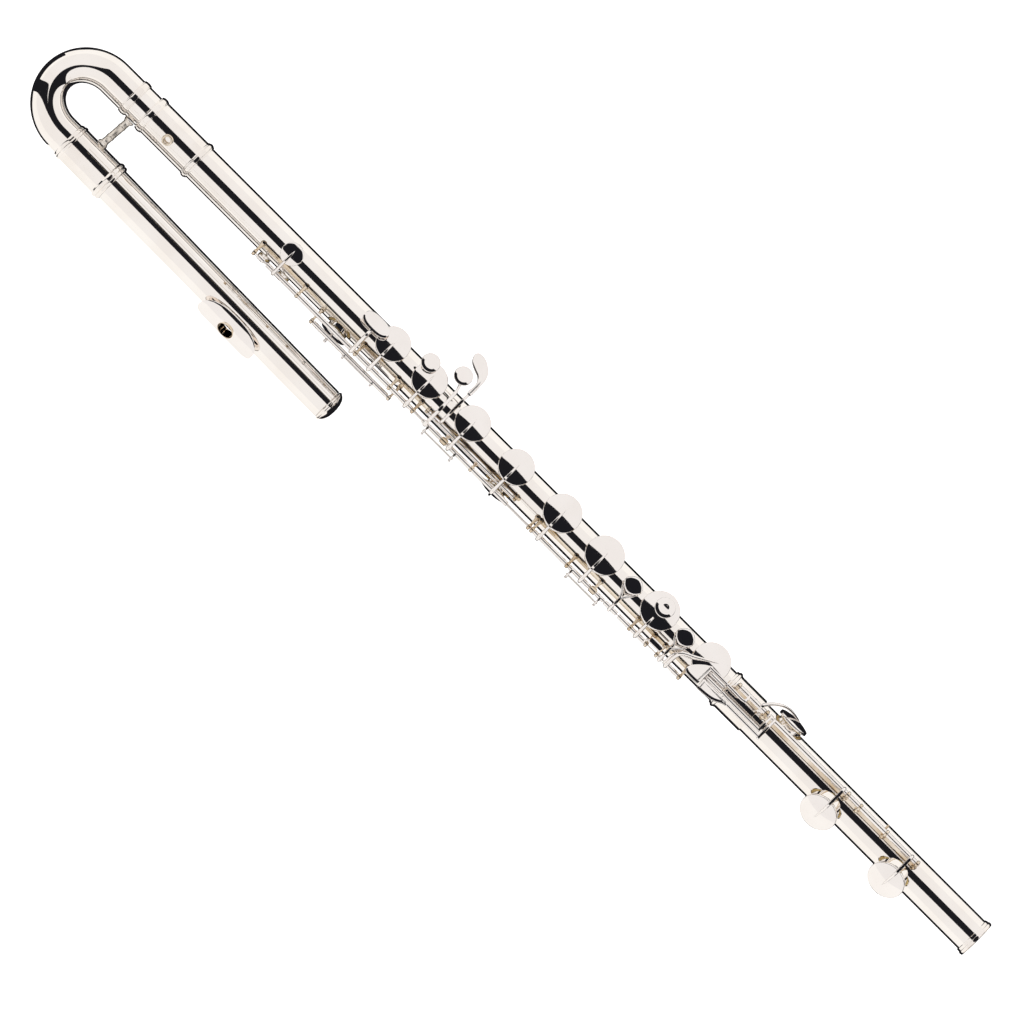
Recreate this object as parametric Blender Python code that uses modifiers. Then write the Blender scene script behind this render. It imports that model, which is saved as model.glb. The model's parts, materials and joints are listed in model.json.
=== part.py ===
"""Bass flute with a curved J head joint, built as separate named sub-parts.

Stations run along the body tube (X) from the apex of the head bend to the open foot end.
Y is across the flute, away from the head leg, and Z is up. All dimensions are millimetres.
"""
import math

import bmesh
import bpy
from mathutils import Matrix, Vector

MM = 0.001

# Overall frame: the origin is under the middle of the flute, on the surface it rests on.
BEND_TIP, FOOT_END = -1.5, 1001.5
SIDE_LOW, SIDE_HIGH = -83.6, 50.2
REST_HEIGHT = 17.8
ORIGIN = Vector(((BEND_TIP + FOOT_END) / 2, (SIDE_LOW + SIDE_HIGH) / 2, -REST_HEIGHT))

GAP = 0.3  # clearance between neighbouring solids

# Tubes (outer radii) and walls
BODY_R, BODY_BORE = 15.4, 14.8
FOOT_R = 15.3
LEG_R, LEG_WALL = 15.0, 0.5
TENON_BORE = 14.1
TUBE_SIDES = 20

# Head bend: half an ellipse between two parallel legs
BEND_START = 45.0
BEND_DEPTH = 33.1
LEG_SPACING = 59.7
APEX_R = 13.4
HEAD_SPLAY = math.radians(-0.676)

# Body stations
BODY_START, BODY_END = 133.4, 748.0
FOOT_TUBE_START, FOOT_TUBE_END = 750.6, 997.5

# Mechanism axes as (across, up) from the body tube's axis
MAIN = (-19.0, 20.0)
LEVER = (-11.5, 15.2)
THUMB = (-25.5, 16.2)
FOOT = (9.0, 26.1)
HINGE_R = 2.05
KEY_BORE = 1.7
ROD_R = 1.3
ROD_BORE = 1.0
STEEL_R = 0.6
HINGE_SIDES = 10

# Cups: normals in degrees from straight up, positive towards +Y, when closed
MAIN_TILT, MAIN_OPEN = 19.5, 7.5
FOOT_TILT, FOOT_OPEN = -47.0, -7.5
SIDE_TILT = -82.0
VENT_TILT = -115.0
FOOT_SIDE_TILT = 80.0
THUMB_OPEN = -5.0
CUP_SIDES = 12
DOME_R = 52.0

TOP_HOLE = {"rim": 18.9, "pad": 19.2, "edge": 22.3}  # heights from the body axis, big cups
SIDE_HOLE = {"rim": 17.0, "pad": 17.3, "edge": 20.2}  # lower chimneys on the sides

SILVER = ((0.86, 0.84, 0.81, 1.0), 0.12, 1.0)
STEEL = ((0.62, 0.62, 0.63, 1.0), 0.25, 1.0)
PAD_SKIN = ((0.72, 0.50, 0.20, 1.0), 0.6, 0.0)
CORK = ((0.55, 0.38, 0.22, 1.0), 0.9, 0.0)


# ---------------------------------------------------------------- scene helpers

def clear_scene():
    for old in list(bpy.data.objects):
        bpy.data.objects.remove(old, do_unlink=True)


def new_collection(name):
    made = bpy.data.collections.new(name)
    bpy.context.scene.collection.children.link(made)
    return made


def material(name, look):
    made = bpy.data.materials.new(name)
    made.use_nodes = True
    shader = made.node_tree.nodes["Principled BSDF"]
    shader.inputs["Base Color"].default_value = look[0]
    shader.inputs["Roughness"].default_value = look[1]
    shader.inputs["Metallic"].default_value = look[2]
    return made


def spot(a, p, z):
    """A point of the flute in metres: station a, p across and z up from the body axis."""
    return (Vector((a, p, z)) - ORIGIN) * MM


def swing(point, pivot, degrees):
    """An (across, up) point turned about a pivot by the right-hand rule about +X."""
    c, s = math.cos(math.radians(degrees)), math.sin(math.radians(degrees))
    dy, dz = point[0] - pivot[0], point[1] - pivot[1]
    return (pivot[0] + dy * c - dz * s, pivot[1] + dy * s + dz * c)


def keep(obj, name, look):
    """Make the object a named sub-part with a material of its own."""
    obj.name = name
    obj.data.name = name
    obj.data.materials.clear()
    obj.data.materials.append(material(name, look))
    for folder in list(obj.users_collection):
        folder.objects.unlink(obj)
    PARTS.objects.link(obj)
    obj.data.shade_smooth()
    obj.data.set_sharp_from_angle(angle=math.radians(35))
    return obj


def helper(obj):
    obj.hide_render = True
    obj.display_type = "WIRE"
    CUTTERS.objects.link(obj)
    return obj


def fuse(base, pieces, cuts=()):
    """Union the pieces onto the base, then cut the cutters from it."""
    for operation, members in (("UNION", pieces), ("DIFFERENCE", cuts)):
        for piece in members:
            modifier = base.modifiers.new(operation.lower(), "BOOLEAN")
            modifier.operation = operation
            modifier.object = piece
    return base


def mesh_object(name, bm):
    mesh = bpy.data.meshes.new(name)
    bmesh.ops.recalc_face_normals(bm, faces=bm.faces)
    bm.to_mesh(mesh)
    bm.free()
    return helper(bpy.data.objects.new(name, mesh))


def place_on(obj, matrix):
    obj.matrix_world = matrix
    return obj


# ---------------------------------------------------------------- shape helpers

def turned(name, profile, matrix, sides, ring=False):
    """A (radius, height) profile in millimetres turned about the matrix's Z axis."""
    mesh = bpy.data.meshes.new(name)
    points = [(r * MM, 0.0, h * MM) for r, h in profile]
    count = len(points)
    edges = [(i, (i + 1) % count) for i in range(count if ring else count - 1)]
    mesh.from_pydata(points, edges, [])
    obj = helper(bpy.data.objects.new(name, mesh))
    screw = obj.modifiers.new("turn", "SCREW")
    screw.steps = screw.render_steps = sides
    screw.use_merge_vertices = True
    screw.merge_threshold = 0.00001
    return place_on(obj, matrix)


def along_x(p=0.0, z=0.0):
    """Frame whose Z axis runs along the body, so turned heights are stations."""
    return Matrix.Translation(spot(0, p, z)) @ Matrix.Rotation(math.pi / 2, 4, "Y")


def head_frame(a=0.0):
    """Frame of the head leg: X along its axis from its start, a millimetres along it."""
    root = Matrix.Translation(spot(BEND_START, -LEG_SPACING, 0))
    return root @ Matrix.Rotation(HEAD_SPLAY, 4, "Z") @ Matrix.Translation((a * MM, 0, 0))


def along_head():
    """Turned heights are stations along the head leg."""
    shift = Matrix.Translation((-BEND_START * MM, 0, 0))
    return head_frame() @ shift @ Matrix.Rotation(math.pi / 2, 4, "Y")


def sleeve(name, outer, bore, matrix, sides=TUBE_SIDES):
    """Hollow turned piece: outer is (station, radius) from start to end, bore likewise."""
    profile = [(r, a) for a, r in reversed(outer)] + [(r, a) for a, r in bore]
    return turned(name, profile, matrix, sides, ring=True)


def rod(name, a0, a1, radius, p, z, sides=HINGE_SIDES, half_step=False):
    """Round bar along X; a cutter is turned half a side, so its edges miss those it cuts."""
    profile = [(0, a1), (radius, a1), (radius, a0), (0, a0)]
    turn = Matrix.Rotation(math.pi / sides if half_step else 0.0, 4, "Z")
    return turned(name, profile, along_x(p, z) @ turn, sides)


def bore_radius(radius, sides=HINGE_SIDES):
    """Corner radius of a polygon whose flats stand at the given radius."""
    return radius / math.cos(math.pi / sides)


def wire(name, points, radii, sides_level=0):
    """Tapered bar through (station, across, up) points."""
    curve = bpy.data.curves.new(name, "CURVE")
    curve.dimensions = "3D"
    curve.bevel_depth = MM
    curve.bevel_resolution = sides_level
    curve.use_fill_caps = True
    line = curve.splines.new("POLY")
    line.points.add(len(points) - 1)
    for knot, point, radius in zip(line.points, points, radii):
        knot.co = (*spot(*point), 1.0)
        knot.radius = radius
    return curve_to_mesh(name, curve)


def curve_to_mesh(name, curve):
    guide = bpy.data.objects.new(name + "_guide", curve)
    bpy.context.scene.collection.objects.link(guide)
    graph = bpy.context.evaluated_depsgraph_get()
    mesh = bpy.data.meshes.new_from_object(guide.evaluated_get(graph))
    matrix = guide.matrix_world.copy()
    bpy.data.objects.remove(guide, do_unlink=True)
    bm = bmesh.new()
    bm.from_mesh(mesh)
    bmesh.ops.remove_doubles(bm, verts=bm.verts, dist=0.00001)
    obj = mesh_object(name, bm)
    obj.matrix_world = matrix
    return obj


def plate(name, outline, thickness, matrix):
    """Flat plate from a closed (x, y) outline in millimetres, centred on the matrix's XY plane."""
    curve = bpy.data.curves.new(name, "CURVE")
    curve.dimensions = "2D"
    curve.fill_mode = "BOTH"
    curve.extrude = thickness / 2 * MM
    line = curve.splines.new("POLY")
    line.points.add(len(outline) - 1)
    line.use_cyclic_u = True
    for knot, (x, y) in zip(line.points, outline):
        knot.co = (x * MM, y * MM, 0.0, 1.0)
    return place_on(curve_to_mesh(name, curve), matrix)


def block(name, size, matrix):
    bm = bmesh.new()
    bmesh.ops.create_cube(bm, size=1.0)
    bmesh.ops.scale(bm, vec=Vector(size) * MM, verts=bm.verts)
    return place_on(mesh_object(name, bm), matrix)


def oval(long_half, short_half, steps, long_power=1.0):
    """Outline of an ellipse, squarer as long_power falls below 1."""
    found = []
    for i in range(steps):
        t = 2 * math.pi * i / steps
        c, s = math.cos(t), math.sin(t)
        found.append((long_half * math.copysign(abs(c) ** long_power, c),
                      short_half * math.copysign(abs(s) ** long_power, s)))
    return found


# ---------------------------------------------------------------- cups and keys

def cup_frame(a, tilt, pivot=(0.0, 0.0), opened=0.0):
    """Frame with Z along the cup's normal and its origin where the body axis swings to."""
    p, z = swing((0.0, 0.0), pivot, opened)
    turn = Matrix.Rotation(-math.radians(tilt - opened), 4, "X")
    return Matrix.Translation(spot(a, p, z)) @ turn


def on_cup(t, h, tilt, pivot=(0.0, 0.0), opened=0.0):
    """(across, up) of a point t across the cup and h above the body axis along its normal."""
    angle = math.radians(tilt)
    point = (h * math.sin(angle) + t * math.cos(angle), h * math.cos(angle) - t * math.sin(angle))
    return swing(point, pivot, opened)


def dome(radius, sphere, edge, steps=2):
    """(radius, height) points of a shallow dome from its apex to its edge."""
    base = math.sqrt(sphere ** 2 - radius ** 2)
    found = []
    for i in range(steps + 1):
        r = radius * i / steps
        found.append((r, edge + math.sqrt(sphere ** 2 - r ** 2) - base))
    return found


def cup(name, radius, heights, frame, sphere=DOME_R):
    edge, pad = heights["edge"], heights["pad"]
    ceiling = pad + 2.8
    shell = dome(radius, sphere, edge)
    shell += [(radius, pad + 0.9), (radius - 0.8, pad + 0.9), (radius - 0.8, ceiling + GAP)]
    shell += [(0.0, ceiling + GAP)]
    return turned(name, shell, frame, CUP_SIDES)


def pad(name, radius, heights, frame):
    low, high = heights["pad"], heights["pad"] + 2.8
    size = radius - 1.2
    disc = turned(name, [(0, high), (size, high), (size, low), (0, low)], frame, CUP_SIDES)
    return keep(disc, name, PAD_SKIN)


def hinge(name, a0, a1, pivot):
    return rod(name, a0, a1, HINGE_R, *pivot)


def bore(a0, a1, pivot, radius=KEY_BORE):
    return rod("bore", a0 - 1, a1 + 1, bore_radius(radius), *pivot, half_step=True)


def main_arm(a, reach, top_tip=3.0, tilt=MAIN_TILT, opened=MAIN_OPEN, cup_edge=14.5):
    """Arm from the main axis up over a cup's dome, tapering to a point past its centre."""
    over = dome(cup_edge, DOME_R, TOP_HOLE["edge"])[0][1]
    knots = [MAIN, (MAIN[0] - 0.3, MAIN[1] + 2.6)]
    knots += [on_cup(-cup_edge - 0.5, TOP_HOLE["edge"] + 1.05, tilt, MAIN, opened),
              on_cup(-cup_edge + 4, over - 0.9, tilt, MAIN, opened)]
    radii = [1.5, 1.4, 1.3, 1.2]
    if top_tip > 0:
        knots += [on_cup(0.0, over + 0.3, tilt, MAIN, opened),
                  on_cup(top_tip, over, tilt, MAIN, opened)]
        radii += [0.8, 0.3]
    points = [(a, p, z) for p, z in knots[:3]] + [(reach, p, z) for p, z in knots[3:]]
    return wire("arm", points, radii)


def main_cup(a, radius):
    return cup("cup", radius, TOP_HOLE, cup_frame(a, MAIN_TILT, MAIN, MAIN_OPEN))


def main_pad(name, a, radius):
    return pad(name, radius, TOP_HOLE, cup_frame(a, MAIN_TILT, MAIN, MAIN_OPEN))


def button(a, t, radius, low, high):
    """Raised round touch on the main line, standing on the cup plane."""
    profile = dome(radius, 36.0, high, 2) + [(radius, high - 1.6), (radius * 0.45, high - 2.6),
                                             (radius * 0.45, low), (0, low)]
    frame = cup_frame(a, MAIN_TILT, MAIN, MAIN_OPEN) @ Matrix.Translation((0, t * MM, 0))
    return turned("touch", profile, frame, 14)


def bridge(a0, a1):
    """Bar on two arms that carries a key past a post."""
    out = (MAIN[0] - 5.4, MAIN[1] + 0.6)
    bar = wire("bridge", [(a0 - 1, *out), (a1 + 1, *out)], [0.9, 0.9])
    arms = [wire("bridge_arm", [(a, MAIN[0], MAIN[1] + 1.2), (a, out[0] - 1.4, out[1])], [1.0, 0.9])
            for a in (a0, a1)]
    return [bar] + arms


def key(name, a0, a1, pivot, pieces, cuts=()):
    """A key: its hinge tube, what is soldered to it, and the bore of its tube."""
    tube = hinge(name, a0, a1, pivot)
    fuse(tube, pieces, list(cuts) or [bore(a0, a1, pivot)])
    return keep(tube, name, SILVER)


# ---------------------------------------------------------------- head joint

def bend_path(steps=14):
    points = [(66.5, 0.0)]
    points += [(BEND_START - BEND_DEPTH * math.sin(t), LEG_SPACING / 2 * (math.cos(t) - 1))
               for t in (math.pi * i / steps for i in range(steps + 1))]
    return points + [(54.0, -LEG_SPACING)]


def make_bend():
    curve = bpy.data.curves.new("bend", "CURVE")
    curve.dimensions = "3D"
    curve.bevel_depth = MM
    curve.bevel_resolution = 4
    line = curve.splines.new("POLY")
    path = bend_path()
    line.points.add(len(path) - 1)
    for knot, (a, p) in zip(line.points, path):
        depth = max(0.0, BEND_START - a) / BEND_DEPTH
        knot.co = (*spot(a, p, 0), 1.0)
        knot.radius = LEG_R + (APEX_R - LEG_R) * depth ** 2
    bend = curve_to_mesh("u_bend", curve)
    wall = bend.modifiers.new("wall", "SOLIDIFY")
    wall.thickness = LEG_WALL * MM
    wall.offset = -1.0
    wall.use_even_offset = True
    keep(bend, "u_bend", SILVER)


def make_head():
    make_bend()
    ring = sleeve("tenon_ring", [(63.7, 15.9), (65.5, 16.3), (68.5, 16.3), (70.3, 15.9)],
                  [(63.7, 15.4), (70.3, 15.4)], along_x())
    keep(ring, "tenon_ring", SILVER)
    tenon = sleeve("head_tenon", [(66.8, LEG_R), (82.0, LEG_R), (82.1, 14.65), (125, 14.65)],
                   [(66.8, TENON_BORE), (125, TENON_BORE)], along_x())
    keep(tenon, "head_tenon", SILVER)
    socket = sleeve("head_socket",
                    [(53, 15.9), (56, 16.7), (57.5, 17.0), (59.5, 16.1), (95, 16.1), (95.6, 17.3),
                     (98.5, 17.5), (102, 17.3), (102.6, 15.8)],
                    [(53, 15.4), (102.6, 15.4)], along_head())
    keep(socket, "head_socket", SILVER)
    make_brace()
    make_head_tube()
    make_lip_plate()
    make_stopper()


def make_brace():
    start, end = (74.0, -LEG_SPACING + 14.0, 0.0), (76.5, -13.0, 0.0)
    brace = wire("brace", [start, end], [3.2, 3.2], 2)
    collars = [wire("collar", [(74.9, -38.6, 0), (75.1, -35.8, 0)], [4.2, 4.2], 2),
               wire("collar", [(76.1, -18.4, 0), (76.4, -15.8, 0)], [4.2, 4.2], 2)]
    feet = [block("foot", (9, 3.2, 9), Matrix.Translation(spot(76.5, -15.6, 0))),
            block("foot", (9, 3.2, 9), Matrix.Translation(spot(74.0, -LEG_SPACING + 16.4, 0)))]
    hollows = [rod("hollow", 50, 100, LEG_R + GAP + 0.2, 0, 0, TUBE_SIDES),
               turned("hollow", [(0, 110), (16.5, 110), (16.5, 50), (0, 50)], along_head(), TUBE_SIDES)]
    fuse(brace, collars + feet, hollows)
    keep(brace, "brace_rod", SILVER)


EMBOUCHURE, LIP_TILT = 246.5, -57.0
HOLE_LONG, HOLE_SHORT = 7.2, 6.2


def lip_frame():
    """Frame at the embouchure hole: Z out of the hole, X along the head."""
    turn = Matrix.Rotation(-math.radians(LIP_TILT), 4, "X")
    return head_frame(EMBOUCHURE - BEND_START) @ turn


def oval_plug(name, grow, low, high):
    outline = oval(HOLE_LONG + grow, HOLE_SHORT + grow, 18)
    frame = lip_frame() @ Matrix.Translation((0, 0, (low + high) / 2 * MM))
    return plate(name, outline, high - low, frame)


def make_head_tube():
    outer = [(57, 14.95), (102.5, 14.8), (215, 14.0), (343.5, 13.55)]
    tube = sleeve("head_tube", outer, [(a, r - 0.5) for a, r in outer], along_head(), TUBE_SIDES)
    fuse(tube, [], [oval_plug("hole", 0.1, 8, 20)])
    keep(tube, "head_tube", SILVER)
    riser = oval_plug("riser", 1.3, 8.0, 22.0)
    inside = turned("inside", [(0, 300), (14.25, 300), (14.25, 200), (0, 200)], along_head(), TUBE_SIDES)
    beyond = sleeve("beyond", [(200, 30), (300, 30)], [(200, 19.8), (300, 19.8)], along_head(), 36)
    fuse(riser, [], [inside, beyond, oval_plug("hole", 0.0, 0, 30)])
    keep(riser, "embouchure_riser", SILVER)


def make_lip_plate():
    outer, inner = 21.4, 20.0
    lip = sleeve("lip_plate", [(205, outer), (288, outer)], [(205, inner), (288, inner)],
                 along_head(), 36)
    outline = plate("outline", oval(29.5, 16.8, 28, 0.9), 30,
                    lip_frame() @ Matrix.Translation((0, 0, 20 * MM)))
    trim = lip.modifiers.new("outline", "BOOLEAN")
    trim.operation = "INTERSECT"
    trim.object = outline
    fuse(lip, [], [oval_plug("hole", 0.2, 10, 30)])
    keep(lip, "lip_plate", SILVER)


def make_stopper():
    crown = turned("crown", [(0, 352.0), (5, 351.6), (10, 350.3), (13, 348.2), (14.3, 346.0),
                             (14.3, 344.6), (13.6, 343.9), (12.4, 343.9), (12.4, 338), (2.0, 338),
                             (2.0, 284), (0, 284)], along_head(), 16)
    keep(crown, "crown", SILVER)
    cork = sleeve("stopper_cork", [(271.8, 12.9), (294, 12.9)], [(271.8, 2.6), (294, 2.6)],
                  along_head(), 14)
    keep(cork, "stopper_cork", CORK)
    disc = [(0, 282), (1.8, 282), (1.8, 271.4), (12.7, 271.4), (12.7, 270.0), (0, 270.0)]
    keep(turned("stopper_plate", disc, along_head(), 14), "stopper_plate", SILVER)


# ---------------------------------------------------------------- body and foot tubes

# (station, chimney's hole radius, tilt, heights) for each tone hole
SMALL = (241.5, 7.0, 2.5, TOP_HOLE)
UPPER_CUPS = {"b_flat": (347.3, 14.2), "a": (387.6, 14.5), "g_upper": (435.3, 14.5),
              "g_lower": (483.7, 14.7)}
LOWER_CUPS = {"f_sharp": (534.8, 15.8), "f": (581.5, 16.0), "e": (642.7, 16.0), "d": (699.5, 15.8)}
FOOT_CUPS = {"foot_c_sharp": (842.0, 16.0), "low_c": (917.0, 16.0)}
THUMB_HOLE = (308.0, 8.2)
G_SHARP_HOLE = (483.7, 8.2)
D_VENT, D_SHARP_VENT = (248.0, 3.2), (227.0, 3.2)
FOOT_SIDE_HOLE = (779.0, 10.2)
HOLE_INSET = 3.4  # a cup's radius less its tone hole's


def chimney(a, radius, tilt, heights):
    frame = cup_frame(a, tilt)
    wall = radius + 0.8
    return turned("chimney", [(0, heights["rim"]), (wall, heights["rim"]), (wall, 11), (0, 11)],
                  frame, CUP_SIDES)


def tone_hole(a, radius, tilt):
    frame = cup_frame(a, tilt) @ Matrix.Rotation(math.pi / CUP_SIDES, 4, "Z")
    return turned("tone_hole", [(0, 26), (radius, 26), (radius, 3), (0, 3)], frame, CUP_SIDES)


def pierced_tube(name, start, end, radius, holes):
    """Tube with a chimney round each tone hole and the bore and holes cut through."""
    tube = rod(name, start, end, radius, 0, 0, TUBE_SIDES)
    fuse(tube, [chimney(*hole) for hole in holes],
         [rod("bore", start - 1, end + 1, BODY_BORE, 0, 0, TUBE_SIDES, True)]
         + [tone_hole(*hole[:3]) for hole in holes])
    return keep(tube, name, SILVER)


def make_tubes():
    barrel = sleeve("barrel",
                    [(82.5, 16.4), (83.3, 17.1), (88.2, 17.1), (89, 15.9), (133, 15.9),
                     (134.4, 17.0), (136, 17.3), (137.6, 17.0), (139, 16.1)],
                    [(82.5, 15.0), (132.6, 15.0), (132.7, 15.75), (139, 15.75)], along_x())
    keep(barrel, "barrel", SILVER)
    holes = [SMALL]
    holes += [(a, r - HOLE_INSET, MAIN_TILT, TOP_HOLE)
              for a, r in list(UPPER_CUPS.values()) + list(LOWER_CUPS.values())]
    holes += [(*THUMB_HOLE, SIDE_TILT, SIDE_HOLE), (*G_SHARP_HOLE, SIDE_TILT, SIDE_HOLE)]
    holes += [(*D_VENT, VENT_TILT, SIDE_HOLE), (*D_SHARP_VENT, VENT_TILT, SIDE_HOLE)]
    pierced_tube("body_tube", BODY_START, BODY_END, BODY_R, holes)
    foot_holes = [(*FOOT_SIDE_HOLE, FOOT_SIDE_TILT, SIDE_HOLE)]
    foot_holes += [(a, r - HOLE_INSET, FOOT_TILT, TOP_HOLE) for a, r in FOOT_CUPS.values()]
    pierced_tube("foot_tube", FOOT_TUBE_START, FOOT_TUBE_END, FOOT_R, foot_holes)
    socket = sleeve("foot_socket",
                    [(720, 16.4), (721.5, 16.9), (723.5, 17.8), (725.5, 16.9), (726.5, 16.3),
                     (753, 16.3)],
                    [(720, 15.75), (753, 15.75)], along_x())
    keep(socket, "foot_socket", SILVER)
    end_ring = sleeve("foot_end_ring", [(995.5, 16.2), (998, 16.4), (1000, 17.1), (1001.5, 17.1)],
                      [(995.5, 15.65), (997.9, 15.65), (998, 14.9), (1001.5, 14.9)], along_x())
    keep(end_ring, "foot_end_ring", SILVER)
    eye_frame = Matrix.Translation(spot(109, -5.2, 15.35)) @ Matrix.Rotation(0.33, 4, "X")
    eye = turned("strap_eye", [(2.6, 2.4), (3.8, 2.4), (4.6, 1.4), (4.6, 0.9), (2.6, 0.9)],
                 eye_frame, 16, ring=True)
    keep(eye, "strap_eye", SILVER)


# ---------------------------------------------------------------- posts and rods

RIB_TILT = -37.0


def polar(tilt, r):
    angle = math.radians(tilt)
    return (r * math.sin(angle), r * math.cos(angle))


def rib(name, a0, a1, tilt, low, high, width):
    middle = (low + high) / 2
    frame = Matrix.Translation(spot((a0 + a1) / 2, *polar(tilt, middle)))
    frame = frame @ Matrix.Rotation(-math.radians(tilt), 4, "X")
    return block(name, (a1 - a0, width, high - low), frame)


POST_SIDES = 8


def post(a, tilt, low, pivot, bore_r, length=2.6, radius=2.9, width=1.3):
    """Eye for a hinge tube or rod, and the tapered stem that carries it above its rib."""
    ends = (a - length / 2, a + length / 2)
    outer = [(end, radius) for end in ends]
    inner = [(end, bore_radius(bore_r, POST_SIDES)) for end in ends]
    base = Vector(polar(tilt, low))
    into_wall = (bore_radius(bore_r, POST_SIDES) + radius * math.cos(math.pi / POST_SIDES)) / 2
    top = Vector(pivot) + (base - Vector(pivot)).normalized() * into_wall
    return [sleeve("eye", outer, inner, along_x(*pivot), POST_SIDES),
            wire("stem", [(a, *base), (a, *top)], [width + 0.5, width])]


UPPER_POSTS = (219.5, 267.0, 289.0, 331.5, 369.0, 395.0, 429.0, 459.5)
LOWER_POSTS = (523.5, 527.0, 566.0, 594.0, 635.5, 653.5, 665.0, 690.0)
LEVER_POSTS = (403.0, 500.5)
THUMB_POSTS = (289.0, 374.5)
FOOT_POSTS = (758.5, 848.5, 862.0, 891.0, 925.0)
LOW_POST_TILT = -57.6


def low_post(a, pivot, bore_r, length=2.6, radius=2.9, width=1.3):
    """Post that starts lower round the tube: a foot along it from the rib, then a stem."""
    foot = [(a, *polar(tilt, 16.4)) for tilt in (-40, -50, LOW_POST_TILT)]
    stem = post(a, LOW_POST_TILT, 16.2, pivot, bore_r, length, radius, width)
    return [wire("low_foot", foot, [0.6, 0.6, 0.6])] + stem


def main_posts(stations, wide):
    pieces = []
    for a in stations:
        end_post = a in (UPPER_POSTS[0], LOWER_POSTS[-1])
        bore_r = STEEL_R + 0.35 if end_post else (ROD_R + 0.35 if a == wide else HINGE_R + 0.3)
        length = 6.0 if a == wide else 2.6
        if LEVER_POSTS[0] < a < LEVER_POSTS[1]:
            pieces += low_post(a, MAIN, bore_r, length)
        else:
            pieces += post(a, RIB_TILT, 16.2, MAIN, bore_r, length)
    return pieces


def make_posts():
    upper = rib("upper_posts", 217.5, 504.0, RIB_TILT, 15.75, 16.6, 3.6)
    pieces = main_posts([a for a in UPPER_POSTS if a not in THUMB_POSTS], 429.0)
    for a in THUMB_POSTS:
        pieces += low_post(a, THUMB, 1.3, 2.6, 2.4, 1.1)
    for a in LEVER_POSTS:
        pieces += post(a, RIB_TILT, 16.2, LEVER, 1.3, 2.4, 2.0, 1.0)
    keep(fuse(upper, pieces), "upper_posts", SILVER)
    lower = rib("lower_posts", 521.5, 692.0, RIB_TILT, 15.75, 16.6, 3.6)
    keep(fuse(lower, main_posts(LOWER_POSTS, 594.0)), "lower_posts", SILVER)
    socket_rib = rib("foot_socket_posts", 726.8, 751.5, 21, 16.65, 17.5, 3.4)
    keep(fuse(socket_rib, post(728.0, 21, 17.1, FOOT, HINGE_R + 0.3)), "foot_socket_posts", SILVER)
    foot_rib = rib("foot_posts", 755.5, 927.0, 21, 15.7, 16.6, 3.4)
    pieces = []
    for a in FOOT_POSTS:
        pieces += post(a, 21, 16.2, FOOT, HINGE_R + 0.3)
    keep(fuse(foot_rib, pieces), "foot_posts", SILVER)


def make_steels():
    steels = {"lever_steel": (401.5, 502.0, LEVER, 0.95), "thumb_steel": (287.5, 376.0, THUMB, 0.95),
              "foot_steel": (726.0, 760.6, FOOT, 1.3)}
    for name, (a0, a1, pivot, radius) in steels.items():
        keep(rod(name, a0, a1, radius, *pivot), name, STEEL)


# ---------------------------------------------------------------- body keys

def make_c_sharp_key():
    opened = cup_frame(SMALL[0], SMALL[2], MAIN, MAIN_OPEN)
    small = cup("cup", 9.4, TOP_HOLE, opened, 30.0)
    path = [(MAIN[0], MAIN[1]), (MAIN[0], MAIN[1] + 2.4)]
    path += [on_cup(t, h, SMALL[2], MAIN, MAIN_OPEN) for t, h in ((-9.6, 23.4), (0, 23.9), (3.0, 23.6))]
    arm = wire("arm", [(SMALL[0], p, z) for p, z in path], [1.5, 1.4, 1.3, 1.0, 0.4])
    frame = cup_frame(327.3, MAIN_TILT, MAIN, MAIN_OPEN) @ Matrix.Translation((0, 0, 28.4 * MM))
    touch = plate("touch", oval(12.7, 6.5, 20, 0.75), 2.4, frame)
    reach = [(*MAIN,), (MAIN[0], MAIN[1] + 2.6)]
    reach += [on_cup(t, 27.5, MAIN_TILT, MAIN, MAIN_OPEN) for t in (-12, 1)]
    lever = wire("lever", [(327.5, p, z) for p, z in reach], [1.6, 1.5, 1.4, 1.4])
    key("c_sharp_key", 239.5, 329.9, MAIN, [small, arm, touch, lever])
    pad("c_sharp_pad", 9.4, TOP_HOLE, opened)


def make_upper_keys():
    a, r = UPPER_CUPS["b_flat"]
    key("b_flat_key", 333.1, 367.4, MAIN, [main_cup(a, r), main_arm(a, a, 3.0)])
    main_pad("b_flat_pad", a, r)
    a, r = UPPER_CUPS["a"]
    top = button(a - 9.1, 9.6, 7.8, 23.0, 27.4)
    key("a_key", 370.6, 393.4, MAIN, [main_cup(a, r), main_arm(a, a, 3.0), top])
    main_pad("a_pad", a, r)
    make_g_key()


def make_g_key():
    pieces = []
    for name in ("g_upper", "g_lower"):
        a, r = UPPER_CUPS[name]
        pieces += [main_cup(a, r), main_arm(a, a, 3.0)]
        main_pad(name + "_pad", a, r)
    reach = [(409.0, *MAIN), (409.0, MAIN[0], MAIN[1] + 2.6)]
    for a, t, h in ((409.3, -12, 25.4), (409.0, 4, 24.6), (407.5, 12, 24.4), (404.5, 19, 24.6)):
        reach.append((a, *on_cup(t, h, MAIN_TILT, MAIN, MAIN_OPEN)))
    lever = wire("lever", reach, [1.5, 1.5, 1.3, 1.3, 1.3, 1.3])
    touch = button(403.9, 20.8, 7.8, 23.2, 27.0)
    tube = hinge("tube", 432.4, 499.0, MAIN)
    key("g_key", 405.5, 425.6, MAIN, pieces + [lever, touch, tube] + bridge(412.5, 442.5),
        [bore(405.5, 499.0, MAIN)])


def side_cup(a, radius, tilt, pivot=(0, 0), opened=0.0, sphere=40.0):
    return cup("cup", radius, SIDE_HOLE, cup_frame(a, tilt, pivot, opened), sphere)


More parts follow.
